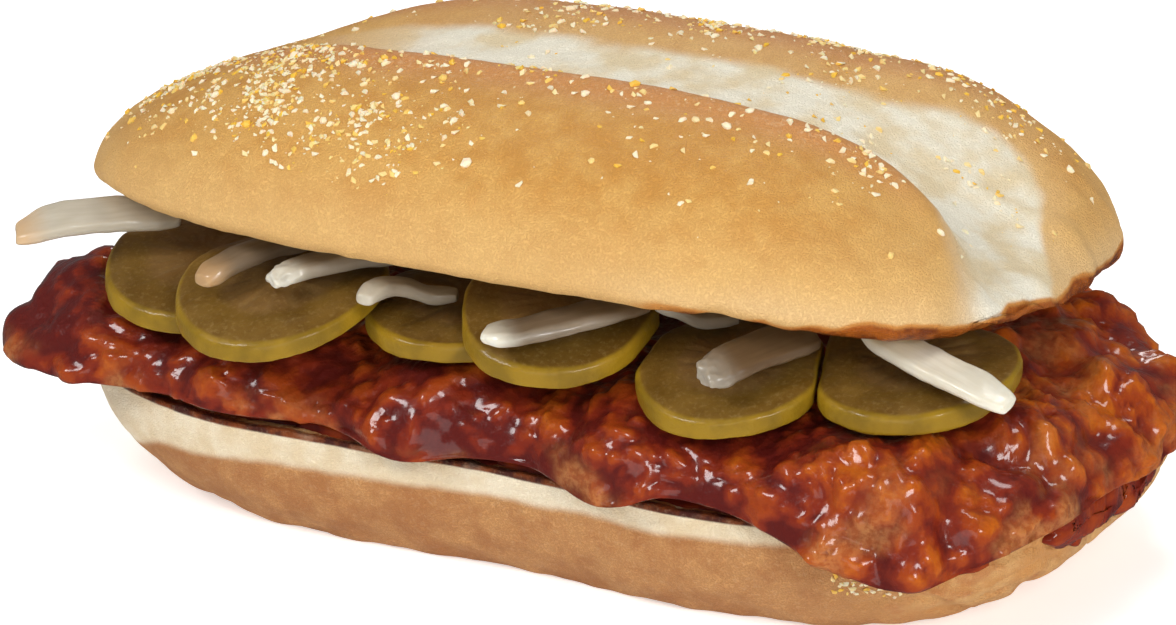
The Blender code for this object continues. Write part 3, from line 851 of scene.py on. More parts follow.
def grain_chance(x, y):
    """How thickly the cornmeal lies: most at the far end and along the lobes' crests."""
    far_end = 0.16 + 0.84 * (1 - smoothstep(-50 * MM, 8 * MM, x))
    crest = 0.25 + 0.75 * bump(np.abs(y + 3 * MM) - 20 * MM, 15 * MM)
    return far_end * crest * (1 - 0.75 * score_open(x, y))


def large_grains():
    """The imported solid's grains, a little smaller: each a 20-sided pebble with its own colour."""
    move_points(crown, flat)
    surface = BVHTree.FromObject(crown, bpy.context.evaluated_depsgraph_get())
    draw = random.Random(7)
    shape, spots = bmesh.new(), []
    tone = shape.verts.layers.float.new("tone")
    while len(spots) < GRAIN_COUNT:
        x, y = draw.uniform(-66 * MM, 62 * MM), draw.uniform(-37 * MM, 34 * MM)
        apart = all(math.dist(spot, (x, y)) > GRAIN_GAP for spot in spots)
        if CROWN.share(x, y) > 0.95 or not apart or draw.random() > grain_chance(x, y):
            continue
        spots.append((x, y))
        size = draw.uniform(*GRAIN_SIZES) * GRAIN_TRIM
        place, outward = surface.ray_cast(Vector((x, y, 0.05)), Vector((0, 0, -1)))[:2]
        turn = Vector((0, 0, 1)).rotation_difference(outward).to_matrix().to_4x4()
        pull = [draw.uniform(0.82, 1.15) for _ in range(12)]
        spin = Matrix.Rotation(draw.uniform(0, 2 * math.pi), 4, "Z")
        flatten = Matrix.Diagonal((1.15, 0.9, 0.72, 1))
        pebble = bmesh.ops.create_icosphere(shape, subdivisions=1, radius=size / 2)["verts"]
        shade = (len(spots) * 0.618) % 1
        for corner, share in zip(pebble, pull):
            corner.co *= share
            corner[tone] = shade
        bmesh.ops.transform(shape, matrix=Matrix.Translation(place) @ turn @ spin @ flatten, verts=pebble)
    return from_bmesh("cornmeal_large", shape)


big_grains = large_grains()
print("large grains:", len(big_grains.data.polygons) // 20)


# %% [markdown]
# One chip for the scatter: the hull of eleven points, flattened, because cornmeal is cracked and
# has edges. It has under 20 faces, because there will be many of it. The node tree has named
# inputs for density, size and seed, and leans each chip a little off the bread.

# %% The scatter tree
MOST_TURN = (0.5, 0.5, 6.28)
CHIP_CORNERS = 11
CHIP_SHAPE = (1.05, 0.95, 0.85)


def grain_seed():
    """The small chip that is scattered, one unit across: the hull of a few points on a ball."""
    shape = bmesh.new()
    draw = random.Random(12)
    for _ in range(CHIP_CORNERS):
        point = Vector((draw.gauss(0, 1), draw.gauss(0, 1), draw.gauss(0, 1))).normalized() / 2
        shape.verts.new([p * pull for p, pull in zip(point, CHIP_SHAPE)])
    bmesh.ops.convex_hull(shape, input=shape.verts)
    return from_bmesh("grain", shape)


def scatter_tree(material):
    """Geometry Nodes: chips on the faces, as thick as the attribute grain_density says."""
    tree = bpy.data.node_groups.new("scatter_grains", "GeometryNodeTree")
    inputs = {"Geometry": "Geometry", "Grain": "Object", "Per square metre": "Float"}
    inputs |= {"Smallest": "Float", "Largest": "Float", "Seed": "Int"}
    for name, kind in inputs.items():
        tree.interface.new_socket(name, in_out="INPUT", socket_type="NodeSocket" + kind)
    tree.interface.new_socket("Geometry", in_out="OUTPUT", socket_type="NodeSocketGeometry")
    made = Paint(tree)
    given, result = made.add("NodeGroupInput").outputs, made.add("NodeGroupOutput").inputs
    density = made.add("GeometryNodeInputNamedAttribute", {"Name": "grain_density"}, data_type="FLOAT")
    thick = made.times(density.outputs["Attribute"], given["Per square metre"])
    spread = {"Mesh": given["Geometry"], "Density": thick, "Seed": given["Seed"]}
    points = made.add("GeometryNodeDistributePointsOnFaces", spread).outputs
    chip = made.add("GeometryNodeObjectInfo", {"Object": given["Grain"]})
    sizes = {2: given["Smallest"], 3: given["Largest"], "Seed": given["Seed"]}
    size = made.add("FunctionNodeRandomValue", sizes, data_type="FLOAT")
    spin = made.add("FunctionNodeRandomValue", {1: MOST_TURN}, data_type="FLOAT_VECTOR")
    turns = {0: points["Rotation"], 1: spin.outputs[0]}
    turn = made.add("FunctionNodeRotateRotation", turns, rotation_space="LOCAL")
    place = made.add("GeometryNodeInstanceOnPoints", {
        "Points": points["Points"],
        "Instance": chip.outputs["Geometry"],
        "Rotation": turn.outputs[0],
        "Scale": size.outputs[1],
    })
    tone = made.add("FunctionNodeRandomValue", {"Seed": 5}, data_type="FLOAT")
    kept = {"Geometry": place.outputs["Instances"], "Name": "tone", "Value": tone.outputs[1]}
    store = made.add("GeometryNodeStoreNamedAttribute", kept, data_type="FLOAT", domain="INSTANCE")
    real = made.add("GeometryNodeRealizeInstances", {"Geometry": store.outputs["Geometry"]})
    dressed = {"Geometry": real.outputs["Geometry"], "Material": material}
    dress = made.add("GeometryNodeSetMaterial", dressed)
    made.feed(result["Geometry"], dress.outputs["Geometry"])
    return tree


def grain_material():
    """Cornmeal: from chalk white to egg yellow, hard and a little waxy."""
    made = new_material("cornmeal", Roughness=0.42, Subsurface_Weight=0.25, Subsurface_Scale=0.5 * MM)
    tone = made.painted("tone")
    base = made.shade(tone, 0.3, 0.75, (240, 224, 190), (238, 206, 132))
    base = made.shade(tone, 0.66, 0.92, base, (234, 184, 62))
    return made.finish(Base_Color=base)


CORNMEAL = grain_material()
SCATTER = scatter_tree(CORNMEAL)
CHIP = grain_seed()
GRAIN_FACES = len(CHIP.data.polygons)


def scatter(carrier, name, density, per_area, smallest, largest, seed):
    """A plain mesh of grains over the carrier, as thick as density says at each of its points."""
    paint(carrier, "grain_density", density)
    added = carrier.modifiers.new("scatter", "NODES")
    added.node_group = SCATTER
    values = {"Grain": CHIP, "Per square metre": per_area, "Seed": seed}
    values |= {"Smallest": smallest, "Largest": largest}
    for item in SCATTER.interface.items_tree:
        if item.in_out == "INPUT" and item.name in values:
            added[item.identifier] = values[item.name]
    carrier.update_tag()
    graph = bpy.context.evaluated_depsgraph_get()
    mesh = bpy.data.meshes.new_from_object(carrier.evaluated_get(graph))
    carrier.modifiers.remove(added)
    carrier.data.attributes.remove(carrier.data.attributes["grain_density"])
    mesh.name = name
    print(name, "grains:", len(mesh.polygons) // GRAIN_FACES)
    return placed(name, mesh)


# %% [markdown]
# The meal was thrown by hand, so it lies in patches. Each patch has a place on the crown's plan, a
# reach and a thickness. Chips of 0.55 to 1.25 mm and a finer dust use the same patches. A few chips
# stuck to the heel's near corner when the roll was handled.

# %% Scatter the fine cornmeal
CHIPS = dict(per_area=1.8e6, smallest=0.55 * MM, largest=1.25 * MM, seed=4)
DUST = dict(per_area=1.3e6, smallest=0.2 * MM, largest=0.45 * MM, seed=9)
HEEL_CHIPS = dict(per_area=2.4e6, smallest=0.5 * MM, largest=1.0 * MM, seed=6)
MEAL_PATCHES = np.array([
    (-56, -22, 8, 0.25),
    (-45, -33, 9, 0.24),
    (-52, -31, 14, 0.10),
    (-61, -14, 8, 0.25),
    (-54, -18, 8, 0.55),
    (-50, -16, 9, 0.60),
    (-42, -18, 10, 0.85),
    (-34, -19, 10, 0.80),
    (-50, -26, 12, 0.30),
    (-34, -29, 12, 0.55),
    (-27, -27, 10, 0.80),
    (-20, -31, 11, 0.95),
    (-12, -33, 9, 0.70),
    (-14, -24, 10, 0.45),
    (-5, -30, 9, 0.22),
    (1, -20, 8, 0.35),
    (15, -21, 7, 0.35),
    (24, -22, 6, 0.25),
    (34, -19, 6, 0.30),
    (42, -18, 5, 0.60),
    (26, -30, 12, 0.05),
    (28, 12, 10, 0.40),
    (37, 14, 8, 0.45),
    (44, 18, 9, 0.40),
    (-14, 10, 14, 0.30),
    (8, 10, 12, 0.25),
    (8, 20, 18, 0.35),
    (26, 24, 16, 0.45),
    (48, 6, 10, 0.10),
    (30, -2, 16, 0.04),
]) * (MM, MM, MM, 1)
x, y, z = flat.T
clumps = smoothstep(-0.35, 0.45, lumps(x, y, z, 6 * MM, 61, 3))
meal = np.clip(heaped(x, y, MEAL_PATCHES) + 0.02, 0, 1) * (0.2 + 0.8 * clumps)
meal = meal * smoothstep(0.06, 0.2, crown_level)
chips = scatter(crown, "cornmeal_chips", meal, **CHIPS)
dust = scatter(crown, "cornmeal_dust", meal, **DUST)
big_grains.data.materials.append(CORNMEAL)
for piece in (crown, chips, dust, big_grains):
    seat(piece, crown_turn)
put_on(crown, "roll_crown", slot="crust")
for piece in (chips, dust, big_grains):
    put_on(piece, slot="crust")
x, y, z = places_of(heel).T
stuck = bump(np.hypot((x - 48.7 * MM) / 2.2, z - 8.5 * MM), 2.6 * MM) * (y < -20 * MM)
heel_chips = scatter(heel, "cornmeal_heel", stuck, **HEEL_CHIPS)
for piece in (heel, heel_chips):
    seat(piece)
put_on(heel, "roll_heel", slot="crust")
put_on(heel_chips, slot="crust")
bpy.data.objects.remove(CHIP)

# %% [markdown]
# ## Patty
# The patty is ground pork, formed in a mould with pressed ribs, grilled and dipped in sauce. The
# solid gives the outline, the ribs and the big bulges. Over that come lumps of meat 2 to 8 mm
# across, as noise along the normals. The same noise tells the material where the sauce lies
# thick, in the hollows, and where it is thin, on the lumps.

# %% The patty's shape
PATTY_LENGTH = 139 * MM
PATTY_WIDTH = 76 * MM
PATTY_PLACE_X = 0.5 * MM
PATTY_SAG = 6.5 * MM
PATTY_TOP = 26.6 * MM
PATTY_RISE = 5.4 * MM
RIB_PITCH = 29 * MM
RIB_PHASE = -8 * MM
RIB_HEIGHT = 0.9 * MM
PIECE_GAP = 0.45 * MM
BULGES = np.array([
    (-66, -34, 27, 8.5),
    (-52, -40, 12, 2.0),
    (-34, -40, 11, 3.0),
    (-12, -39, 11, 2.0),
    (16, -39, 12, 2.4),
    (43, -41, 18, 6.0),
    (61, -39, 20, 5.6),
    (70, 0, 14, 1.0),
    (68, 34, 30, -9.0),
    (-70, 12, 16, 1.6),
    (-68, 34, 20, -3.0),
    (40, 39, 18, 1.8),
    (-24, 39, 16, 1.5),
]) * MM
LUMPS = np.array([
    (66, 4, 8, 2.6),
    (64, -12, 9, 2.2),
    (57, -29, 10, 1.8),
    (44, -35, 9, 1.4),
    (-64, -28, 15, 4.6),
    (-52, -36, 9, 1.8),
    (-64, -8, 10, 1.2),
    (-63, 14, 11, 1.6),
    (60, 22, 11, 1.8),
]) * MM


def patty_swell(x, y):
    rib = np.cos(2 * math.pi * (x - RIB_PHASE) / RIB_PITCH)
    side = smoothstep(0.55, 0.95, np.abs(y) / (PATTY_WIDTH / 2))
    return MM * rib * side + heaped(x, y, BULGES) + MM * hum(x, y, 0, 14 * MM, 14)


PATTY = Oblong(PATTY_LENGTH, PATTY_WIDTH, power=4.2, swell=patty_swell)


def patty_heights(x, y, share):
    """The heights of the bottom and the top at a point, which meet on the outline."""
    past = HEEL.share(x + PATTY_PLACE_X, y)
    near = 0.2 + 0.8 * smoothstep(-50 * MM, 10 * MM, x)
    low = HEEL_HEIGHT + HEEL_WAVE + PIECE_GAP - near * PATTY_SAG * smoothstep(1.03, 1.2, past)
    rise = PATTY_RISE * smoothstep(-34 * MM, 34 * MM, y)
    ridge = RIB_HEIGHT * np.cos(2 * math.pi * (x - RIB_PHASE) / RIB_PITCH)
    high = PATTY_TOP + rise + ridge + 0.9 * MM * hum(x, y, 0, 11 * MM, 17) + heaped(x, y, LUMPS)
    cut = CROWN_PLACE.z - near_sag(x + PATTY_PLACE_X - CROWN_PLACE.x)
    cut = cut + (y - CROWN_PLACE.y) * math.tan(CROWN_TILT)
    high = np.minimum(high, cut - 2 * PIECE_GAP)
    waist = low + 0.12 * (high - low)
    swell = np.sqrt(np.maximum(0, 1 - share**5))
    crag = 0.5 * MM * hum(x, y, 0, 6 * MM, 31) * smoothstep(0.6, 0.9, share) * swell
    return waist - (waist - low) * np.minimum(1, 1.5 * swell), waist + (high - waist) * swell + crag


def build_patty(around=640):
    x, y = PATTY.ring(around)
    rings = []
    for share in (*np.linspace(0.1, 0.9, 12), 0.94, 0.965, 0.982, 0.993):
        low = patty_heights(x * share, y * share, share)[0]
        rings.append(np.stack([x * share, y * share, low], -1))
    for swell in np.sin(np.linspace(0, math.pi / 2, 52))[:-1]:
        share = (1 - swell**2) ** 0.2
        if share > 0.8:
            high = patty_heights(x * share, y * share, share)[1]
            rings.append(np.stack([x * share, y * share, high], -1))
    for share in (*np.linspace(0.79, 0.36, 66), *np.linspace(0.33, 0.03, 8)):
        high = patty_heights(x * share, y * share, share)[1]
        rings.append(np.stack([x * share, y * share, high], -1))
    ends = [patty_heights(np.array(0.0), np.array(0.0), 0.0)[k] for k in (0, 1)]
    patty = ring_solid("patty", (0, 0, float(ends[0])), rings, (0, 0, float(ends[1])))
    patty.data.transform(Matrix.Translation((PATTY_PLACE_X, 0, 0)))
    return patty


patty = build_patty()
print("patty points:", len(patty.data.vertices))

# %% [markdown]
# The meat itself is a field of rounded lumps with creases between them. The sauce is a second,
# smoother level. Whichever is higher shows, blended softly, so that the lumps rise out of the
# sauce as they do when it settles. At the two ends, knobs of meat stand out further. How far the
# meat is above the sauce is painted on, and so is where the flank was left bare.

# %% The patty's relief and paint
KNOBS = np.array([
    (66, 13, 8, 2.4),
    (64, 1, 7, 1.8),
    (62, -16, 7.5, 2.0),
    (53, -33, 8, 0.9),
    (-64, -26, 9, 1.2),
    (-57, -36, 6, 1.0),
    (-60, -14, 6, 0.8),
])


def rounded(x, y, z, size, seed):
    """Lumps with creases between them, from 0 to about 1."""
    return np.abs(hum(x, y, z, size, seed)) * 1.6


places, normals = places_of(patty), normals_of(patty)
x, y, z = places.T
upper = smoothstep(-0.75, -0.1, normals[:, 2])
right_end = smoothstep(38 * MM, 60 * MM, x + 4 * MM * hum(x, y, z, 9 * MM, 74))
grilled = smoothstep(-0.1, 0.35, lumps(x, y, z, 16 * MM, 82, 2))
meat = 1.0 * rounded(x, y, z, 8.5 * MM, 71) + 0.8 * rounded(x, y, z, 4.0 * MM, 72)
meat += (0.36 + 0.2 * grilled) * rounded(x, y, z, 1.9 * MM, 73)
meat += (0.1 + 0.14 * grilled) * hum(x, y, z, 0.95 * MM, 75)
sauce = 0.80 + 0.35 * hum(x, y, z, 15 * MM, 77) + 0.25 * hum(x, y, z, 5 * MM, 78)
proud = meat * (1 + 0.35 * right_end) - sauce + 0.25 * grilled
far_end = 1 - smoothstep(-64 * MM, -50 * MM, x)
flank = (1 - smoothstep(-31 * MM, -25 * MM, y)) * (1 - smoothstep(0.75, 0.95, normals[:, 2]))
knobs = 2.2 * (rounded(x, y, z, 12 * MM, 80) - 0.4) + 1.2 * (rounded(x, y, z, 6 * MM, 83) - 0.4)
knobs = knobs * np.clip(right_end + far_end + 0.4 * flank, 0, 1)
relief = sauce + 0.10 * np.logaddexp(0, proud / 0.10) - 1.0 + knobs + heaped(x / MM, y / MM, KNOBS)
move_points(patty, places + normals * (relief * MM * upper)[:, None])
x, y, z = places_of(patty).T
low_flank = 1 - smoothstep(17 * MM, 21 * MM, z + 2.2 * MM * hum(x, y, 0, 9 * MM, 76))
bare = np.clip(0.9 * low_flank + 0.55 * right_end, 0, 1)
bare = bare * smoothstep(-0.1, 0.4, lumps(x, y, z, 9 * MM, 79, 2))
paint(patty, "thin_sauce", smoothstep(-0.35, 1.0, proud) - 0.16 + 0.16 * right_end)
paint(patty, "bare", bare)
print("sauce covers:", round(float((proud < 0).mean()), 2), "of the patty")

# %% [markdown]
# ## Shared finish: barbecue sauce
# Barbecue sauce is a dark red-brown syrup: where it is thin the light goes through to the orange
# meat, and where it pools it is almost black. Its colour and fine relief are a node group, whose
# input says how thin the sauce is, because the patty, the pools and the smears all use it. The
# gloss is a clear coat in the material itself, so that the lamps break up into small glints.


# %% The sauce group
def sauce_group():
    made = new_group("barbecue_sauce", {"Thin": 0.0}, {"Colour": "Color", "Height": "Float"})
    mottle = made.sum(made.grain(2.4 * MM, 4, 0.6), -0.5)
    amount = made.sum(made.inside["Thin"], made.times(mottle, 0.9))
    thick = made.shade(amount, -0.15, 0.25, (88, 24, 8), (120, 38, 10))
    base = made.shade(amount, 0.25, 0.7, thick, (148, 59, 8))
    base = made.shade(amount, 0.7, 1.15, base, (182, 92, 18))
    fine = made.times(made.grain(1.1 * MM, 3, 0.55), 0.7)
    height = made.sum(fine, made.times(made.cells(1.2 * MM), 0.5))
    made.feed(made.outside["Colour"], base)
    made.feed(made.outside["Height"], height)
    return made.tree


def add_sauce(made, thin):
    """Put the group into a material, with how thin the sauce is, and give back its two outputs."""
    return made.node("Group", {"Thin": thin}, node_tree=SAUCE).outputs.values()


SAUCE = sauce_group()

# %% [markdown]
# The patty's material is the sauce over meat. Where the flank is bare, it is tan, rougher and less
# shiny.


# %% The patty's material
GLOSS = dict(
    Coat_Weight=0.75, Coat_Roughness=0.13, Specular_IOR_Level=0.08,
    Subsurface_Weight=0.12, Subsurface_Scale=1.2 * MM, Subsurface_Radius=(1.0, 0.35, 0.15),
)


def patty_material():
    made = new_material("glazed_pork_meat", **GLOSS)
    colour_of_sauce, height_of_sauce = add_sauce(made, made.painted("thin_sauce"))
    fibres = made.grain(0.9 * MM, 4, 0.65)
    meat = made.shade(fibres, 0.38, 0.62, (158, 92, 46), (190, 128, 74))
    bare = made.times(made.painted("bare"), made.between(made.grain(5 * MM, 2, 0.5), 0.35, 0.6))
    return made.finish(
        Base_Color=made.blend(made.times(bare, 0.65), colour_of_sauce, meat),
        Roughness=made.between(bare, 0.0, 1.0, 0.3, 0.45),
        Coat_Weight=made.between(bare, 0.0, 1.0, 0.75, 0.55),
        Normal=made.relief(made.sum(height_of_sauce, made.times(bare, fibres, 0.5)), 0.34 * MM),
    )


patty.data.materials.append(patty_material())
seat(patty)
put_on(patty, "pork_patty", slot="glazed_pork")

# %% [markdown]
# ## Pools and smears of sauce
# Sauce ran off the patty on to the heel. It stands in pools on the cut face, along the front and
# the back, and it was squeezed out over the rim at the near end. Each blob is a closed, thin body:
# a wobbly disc of points lands on the bread under it, and its top is raised like a drop.

# %% The rings of a blob
SAUCE_SINK = 0.25 * MM
SAUCE_EDGE_SINK = 0.1
SAUCE_REACH = 9 * MM
RAY_START = 0.02


def wobble(turn, coarse, fine, seed):
    """How far the edge of a blob lies out at a turn; coarse and fine are a height and a frequency."""
    u, v = math.cos(turn), math.sin(turn)
    return 1 + sum(h * noise.noise((u * f, v * f, seed)) for h, f in (coarse, fine))


def drop_rings(shares, around, spot_at, land, thick, uneven):
    """The rings of a blob's bottom and of its raised top, from its middle outwards.

    spot_at gives a spot for a share and a turn, and land gives the bread's place and normal under
    it. thick is in millimetres, and uneven is the height and the size of the noise on the top.
    """
    height, size = uneven
    bottom, top = [], []
    for share in shares:
        spots = [spot_at(share, 2 * math.pi * k / around) for k in range(around)]
        swell = math.sqrt(max(0, 1 - share**2.5))
        landed = [land(spot) for spot in spots]
        swells = [swell * (1 + height * noise.noise(spot / size)) for spot in spots]
        bottom.append([tuple(hit - normal * SAUCE_SINK) for hit, normal in landed])
        tops = zip(landed, swells)
        top.append([tuple(hit + normal * (thick * s - SAUCE_EDGE_SINK) * MM) for (hit, normal), s in tops])
    return bottom, top


# %% [markdown]
# A smear is drawn in millimetres around its place, and its points drop straight on to the bread as
# rays. A fold wraps round the rim, where rays would miss, so it is drawn on the heel's own angle
# and rise, and each of its points moves to the nearest bread.


# %% Lay sauce on bread
def smear(surface, place, facing, length, width, turn, thick, seed, around=56, steps=16):
    """A closed blob of sauce around a place given in millimetres, pressed on to a surface."""
    facing = Vector(facing).normalized()
    level = Vector((1, 0, 0)) if abs(facing.z) > 0.8 else facing.cross((0, 0, 1)).normalized()
    along = Matrix.Rotation(math.radians(turn), 3, facing) @ level
    across = facing.cross(along)
    centre = Vector(place) * MM + Vector(HOME)

    def spot_at(share, way):
        edge = wobble(way, (0.45, 1.4), (0.25, 3.5), seed)
        out = along * math.cos(way) * length / 2 + across * math.sin(way) * width / 2
        return centre + out * share * edge * MM

    def land(spot):
        hit, normal = surface.ray_cast(spot + facing * RAY_START, -facing)[:2]
        if hit is None or (hit - spot).length > SAUCE_REACH:
            hit, normal = surface.find_nearest(spot)[:2]
        return hit, normal

    shares = np.linspace(0, 1, steps + 1)[1:]
    bottom, top = drop_rings(shares, around, spot_at, land, thick, (0.4, 3 * MM))
    middle, normal = surface.ray_cast(centre + facing * RAY_START, -facing)[:2]
    ends = middle - normal * SAUCE_SINK, middle + normal * thick * MM
    return ring_solid("smear", ends[0], bottom + top[::-1], ends[1])


def heel_place(angle, rise):
    """A point on the heel's surface: an angle around it, and a rise as in build_heel."""
    x, y = HEEL.edge(angle)
    share = side_share(min(rise, 1.0)) - max(0.0, rise - 1)
    height = float(heel_top(x * share, y * share))
    return Vector((x * share, y * share, min(rise, 1.0) * height)) + Vector(HOME)


def fold(surface, angle, rise, wide, tall, thick, seed, around=72, steps=16):
    """A closed blob of sauce folded over the heel's rim, drawn on angle around and rise."""

    def spot_at(share, way):
        edge = wobble(way, (0.4, 1.6), (0.2, 3.2), seed)
        u, v = math.cos(way) * share * edge / 2, math.sin(way) * share * edge / 2
        return heel_place(math.radians(angle + u * wide), rise + v * tall)

    def land(spot):
        return surface.find_nearest(spot)[:2]

    shares = np.linspace(0, 1, steps + 1)
    bottom, top = drop_rings(shares, around, spot_at, land, thick, (0.5, 4.5 * MM))
    return ring_solid("fold", bottom[0][0], bottom[1:] + top[:0:-1], top[0][0])


# %% [markdown]
# A smear's row gives its place, the way it faces, its length, width, turn and thickness. A fold's
# row gives its angle and rise on the heel, how wide and tall it is there, and its thickness.


# %% Pour the sauce
def join(name, pieces):
    """One mesh from several pieces."""
    shape = bmesh.new()
    for piece in pieces:
        shape.from_mesh(piece.data)
        bpy.data.objects.remove(piece)
    bmesh.ops.recalc_face_normals(shape, faces=shape.faces)
    made = from_bmesh(name, shape)
    made.data.shade_smooth()
    return made


def sauce_material():
    made = new_material("pooled_sauce", **(GLOSS | {"Coat_Weight": 0.55}))
    thin = made.between(made.grain(5 * MM, 3), 0.35, 0.7, -0.05, 0.65)
    base, height = add_sauce(made, thin)
    rough = made.between(made.grain(4 * MM), 0.3, 0.7, 0.16, 0.3)
    return made.finish(Base_Color=base, Roughness=rough, Normal=made.relief(height, 0.12 * MM))


heel_surface = BVHTree.FromObject(heel, bpy.context.evaluated_depsgraph_get())
UP = (0, 0, 1)
SMEARS = [
    ((-3, -32.6, 15.3), UP, 15, 4.4, -4, 0.9),
    ((26.5, -33.0, 15.3), UP, 17, 4.6, 3, 1.0),
    ((47, -31.5, 15.3), UP, 15, 5.5, 12, 0.9),
    ((60, -22, 15.3), UP, 14, 8, 60, 1.0),
    ((58, -29, 12.2), (0.6, -1, 0.2), 11, 3.4, 6, 0.7),
    ((-60, -18, 15.3), UP, 14, 7, 80, 0.6),
    ((30, 33.2, 15.3), UP, 16, 4.6, 2, 0.9),
    ((-22, 33.6, 15.3), UP, 13, 4.2, -3, 0.8),
]
FOLDS = [
    (-7, 0.98, 26, 0.55, 2.8),
    (-20, 0.95, 18, 0.48, 2.3),
    (7, 0.95, 15, 0.40, 1.7),
    (-30, 1.0, 14, 0.26, 1.4),
    (-128, 1.10, 34, 0.11, 1.9),
    (-103, 1.10, 30, 0.11, 1.9),
    (-80, 1.09, 30, 0.11, 1.9),
    (-57, 1.09, 26, 0.11, 1.7),
]
blobs = [smear(heel_surface, *facts, seed=11 + k) for k, facts in enumerate(SMEARS)]
blobs += [fold(heel_surface, *facts, seed=31 + k) for k, facts in enumerate(FOLDS)]
pools = join("sauce_on_heel", blobs)
pools.data.materials.append(sauce_material())
put_on(pools, slot="glazed_pork")

# %% [markdown]
# ## Pickle slices
# The slices are cut across a pickled cucumber: a thin olive skin, wet flesh that the brine made
# see-through, and a core with faint seeds. Each starts as a copy of its solid, whose triangles
# are joined to quads and subdivided, because that keeps it in its place between its neighbours.


# %% Copy and smooth a solid
def smooth_copy(node, name, rounds, plain=0):
    """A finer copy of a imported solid: divided plainly first, and then with rounding."""
    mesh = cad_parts[node].data.copy()
    mesh.name = name
    mesh.materials.clear()
    shape = bmesh.new()
    shape.from_mesh(mesh)
    bmesh.ops.remove_doubles(shape, verts=shape.verts, dist=0.005 * MM)
    bmesh.ops.join_triangles(shape, faces=shape.faces, angle_face_threshold=0.7, angle_shape_threshold=1.2)
    shape.to_mesh(mesh)
    shape.free()
    made = placed(name, mesh)
    for kind, levels in (("SIMPLE", plain), ("CATMULL_CLARK", rounds)):
        if levels:
            divide = made.modifiers.new(kind, "SUBSURF")
            divide.subdivision_type = kind
            divide.levels = divide.render_levels = levels
    graph = bpy.context.evaluated_depsgraph_get()
    fine = bpy.data.meshes.new_from_object(made.evaluated_get(graph))
    made.modifiers.clear()
    made.data = fine
    fine.shade_smooth()
    return made


def build_pickle(number):
    """A slice with a skin, an uneven face and a ring of seed chambers."""
    node = f"pickle_{number}"
    disc = smooth_copy(node, f"pickle_slice_{number}", rounds=2, plain=1)
    places, normals = places_of(disc), normals_of(disc)
    off = places - (places.min(0) + places.max(0)) / 2
    angle, far = np.arctan2(off[:, 1], off[:, 0]), np.hypot(off[:, 0], off[:, 1])
    bins = np.linspace(-math.pi, math.pi, 49)
    reach = np.array([far[(angle >= a) & (angle <= b)].max() for a, b in zip(bins, bins[1:])])
    share = far / np.interp(angle, (bins[1:] + bins[:-1]) / 2, reach, period=2 * math.pi)
    facing = np.abs(normals[:, 2])
    chambers = np.maximum(0, np.cos(angle * 3 + number)) * bump(share - 0.4, 0.32)
    spokes = np.maximum(0, np.cos(angle * 13 + 2 * number)) * bump(share - 0.45, 0.26)
    uneven = 0.28 * lumps(*places.T, 7 * MM, 81 + number, 2) * smoothstep(0.3, 0.8, share)
    sunk = -(0.22 * chambers + 0.12 * spokes + 0.12 * np.abs(hum(*places.T, 1.6 * MM, 87))) * facing
    move_points(disc, places + normals * ((uneven + sunk) * MM)[:, None])
    side = (1 - smoothstep(0.3, 0.6, facing)) * (share > 0.85)
    paint(disc, "skin", np.clip(smoothstep(0.935, 0.975, share) + side, 0, 1))
    paint(disc, "core", 1 - smoothstep(0.5, 0.66, share))
    paint(disc, "seeds", spokes)
    disc.data.materials.append(PICKLE)
    put_on(disc, node, slot="pickle")


# %% [markdown]
# The pickle's material mixes skin, flesh and core by the painted share, with some subsurface
# light and a wet coat. Its flesh and core are painted darker than they are in light: painted
# shade for the crown's shadow over the slices.


# %% The pickle's material
def pickle_material():
    made = new_material(
        "pickle_flesh", Roughness=0.4, Coat_Weight=0.3, Coat_Roughness=0.16, Specular_IOR_Level=0.25,
        Subsurface_Weight=0.35, Subsurface_Scale=1.6 * MM, Subsurface_Radius=(1.0, 0.8, 0.25),
    )
    cloud = made.between(made.grain(6 * MM, 4, 0.55), 0.35, 0.65)
    # The flesh and core colours hold painted shade: the slices lie in the crown's shadow.
    flesh = made.blend(cloud, (100, 71, 20), (118, 88, 34))
    core = made.blend(cloud, (110, 79, 38), (128, 96, 52))
    base = made.blend(made.painted("core"), flesh, core)
    base = made.blend(made.times(made.painted("seeds"), 0.15), base, (150, 122, 76))
    flecks = made.between(made.grain(0.6 * MM, 3, 0.6), 0.5, 0.72)
    base = made.blend(made.times(flecks, 0.3), base, (160, 134, 84))
    skin = made.shade(made.grain(4 * MM, 3), 0.35, 0.65, (128, 100, 10), (148, 116, 22))
    base = made.blend(made.painted("skin"), base, skin)
    return made.finish(Base_Color=base, Normal=made.relief(made.grain(0.8 * MM, 4, 0.6), 0.10 * MM))


PICKLE = pickle_material()
for number in range(1, 7):
    build_pickle(number)

# %% [markdown]
# ## Onion slivers
# Raw onion is nearly white, see-through at its edges, and striped along its length by its veins.
# The stripes have to follow each sliver, so the way along it is found as the longest direction
# of its points, and stored as a coordinate. Each sliver has one tone, from clear to white, which
# is partly its own and partly painted shade where the crown shadows it. Its cut edges and tip are
# painted brighter, partly the white of the cut and partly painted light, and a tip may be tanned
# or frilled, as the lists say.


# %% Onions
# Each sliver's tone: its own clearness, darkened with painted shade where the crown shadows it.
ONION_TONES = (0.62, 0.1, 0.24, 0.36, 0.08, 0.25, 0.0, 0.9)
# How bright each tip is: partly the white of the cut end, partly painted light.
BRIGHT_TIPS = (0.1, 0.1, 0.8, 0.35, 0.9, 0.3, 0.3, 0.5)
TANNED_TIPS = (1, 2)
FRILLED_TIPS = (3, 7)


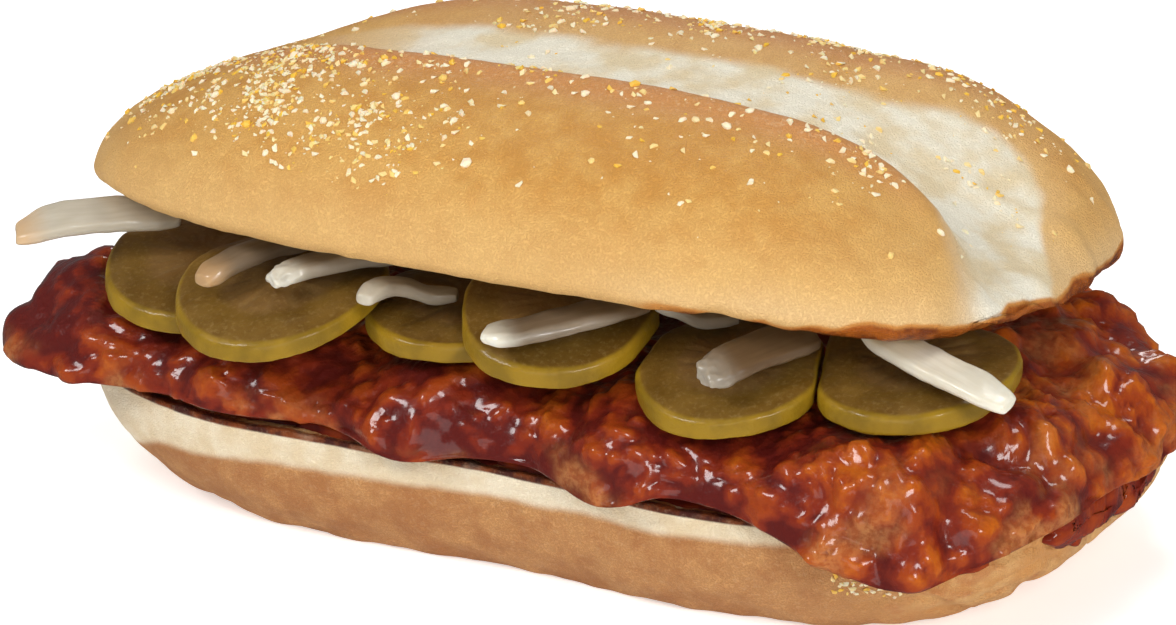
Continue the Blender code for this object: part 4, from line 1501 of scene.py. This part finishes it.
def onion_material():
    made = new_material(
        "onion_flesh", Roughness=0.3, Coat_Weight=0.4, Coat_Roughness=0.12,
        Subsurface_Weight=0.55, Subsurface_Scale=2.0 * MM, Subsurface_Radius=(1.0, 0.9, 0.7),
    )
    along = made.node("Attribute", attribute_name="fibre").outputs["Vector"]
    veins = made.grain(1.0, 3, 0.55, at=along)
    # The dark colours at tone 0 are painted shade for slivers under the crown.
    clear = made.blend(made.painted("tone"), (90, 68, 44), (212, 204, 184))
    white = made.blend(made.painted("tone"), (98, 76, 52), (222, 215, 197))
    base = made.shade(veins, 0.3, 0.7, clear, white)
    # Brighter cut edges and tips: partly the white of the cut, partly a painted rim highlight.
    base = made.blend(made.painted("edge"), base, (228, 225, 210))
    base = made.blend(made.times(made.between(made.grain(3 * MM, 3), 0.5, 0.75), 0.4), base, clear)
    base = made.blend(made.painted("tan"), base, (204, 160, 106))
    return made.finish(Base_Color=base, Normal=made.relief(veins, 0.012 * MM))


ONION = onion_material()


def build_onion(number):
    """A sliver with veins along it, cut edges and tip painted brighter, partly as painted light, and a
    frilled or tanned tip where it has one.
    """
    node = f"onion_{number}"
    sliver = smooth_copy(node, f"onion_sliver_{number}", rounds=2, plain=1)
    places, normals = places_of(sliver), normals_of(sliver)
    off = places - places.mean(0)
    along, wide, _ = np.linalg.svd(off[::5], full_matrices=False)[2]
    if along[1] > 0:
        along = -along
    run = off @ along
    across = off @ wide
    tip = smoothstep(run.max() - 5 * MM, run.max() - 0.5 * MM, run)
    edge = smoothstep(0.62, 0.95, np.abs(across) / np.abs(across).max())
    relief = 0.03 * hum(run * 0.12, across, off[:, 2] * 0.5, 0.85 * MM, 91 + number)
    relief += 0.2 * lumps(*places.T, 4 * MM, 95 + number, 2)
    if number in FRILLED_TIPS:
        relief += 0.4 * lumps(*places.T, 1.3 * MM, 99, 2) * tip
    move_points(sliver, places + normals * (relief * MM)[:, None])
    # The tone holds painted shade as well as the sliver's own clearness.
    paint(sliver, "tone", np.full(len(places), ONION_TONES[number - 1]))
    bright = BRIGHT_TIPS[number - 1]
    # The edges and tip are brightened partly with painted light.
    paint(sliver, "edge", np.clip(0.15 * bright * edge + bright * tip, 0, 1))
    paint(sliver, "tan", tip * 0.6 * (number in TANNED_TIPS))
    fibre = sliver.data.attributes.new("fibre", "FLOAT_VECTOR", "POINT")
    lines = (off - np.outer(run, along)) / (0.6 * MM) + np.outer(run / (8 * MM), along)
    fibre.data.foreach_set("vector", lines.astype(np.float32).ravel())
    sliver.data.materials.append(ONION)
    put_on(sliver, node, slot="onion")


for number in range(1, 9):
    build_onion(number)
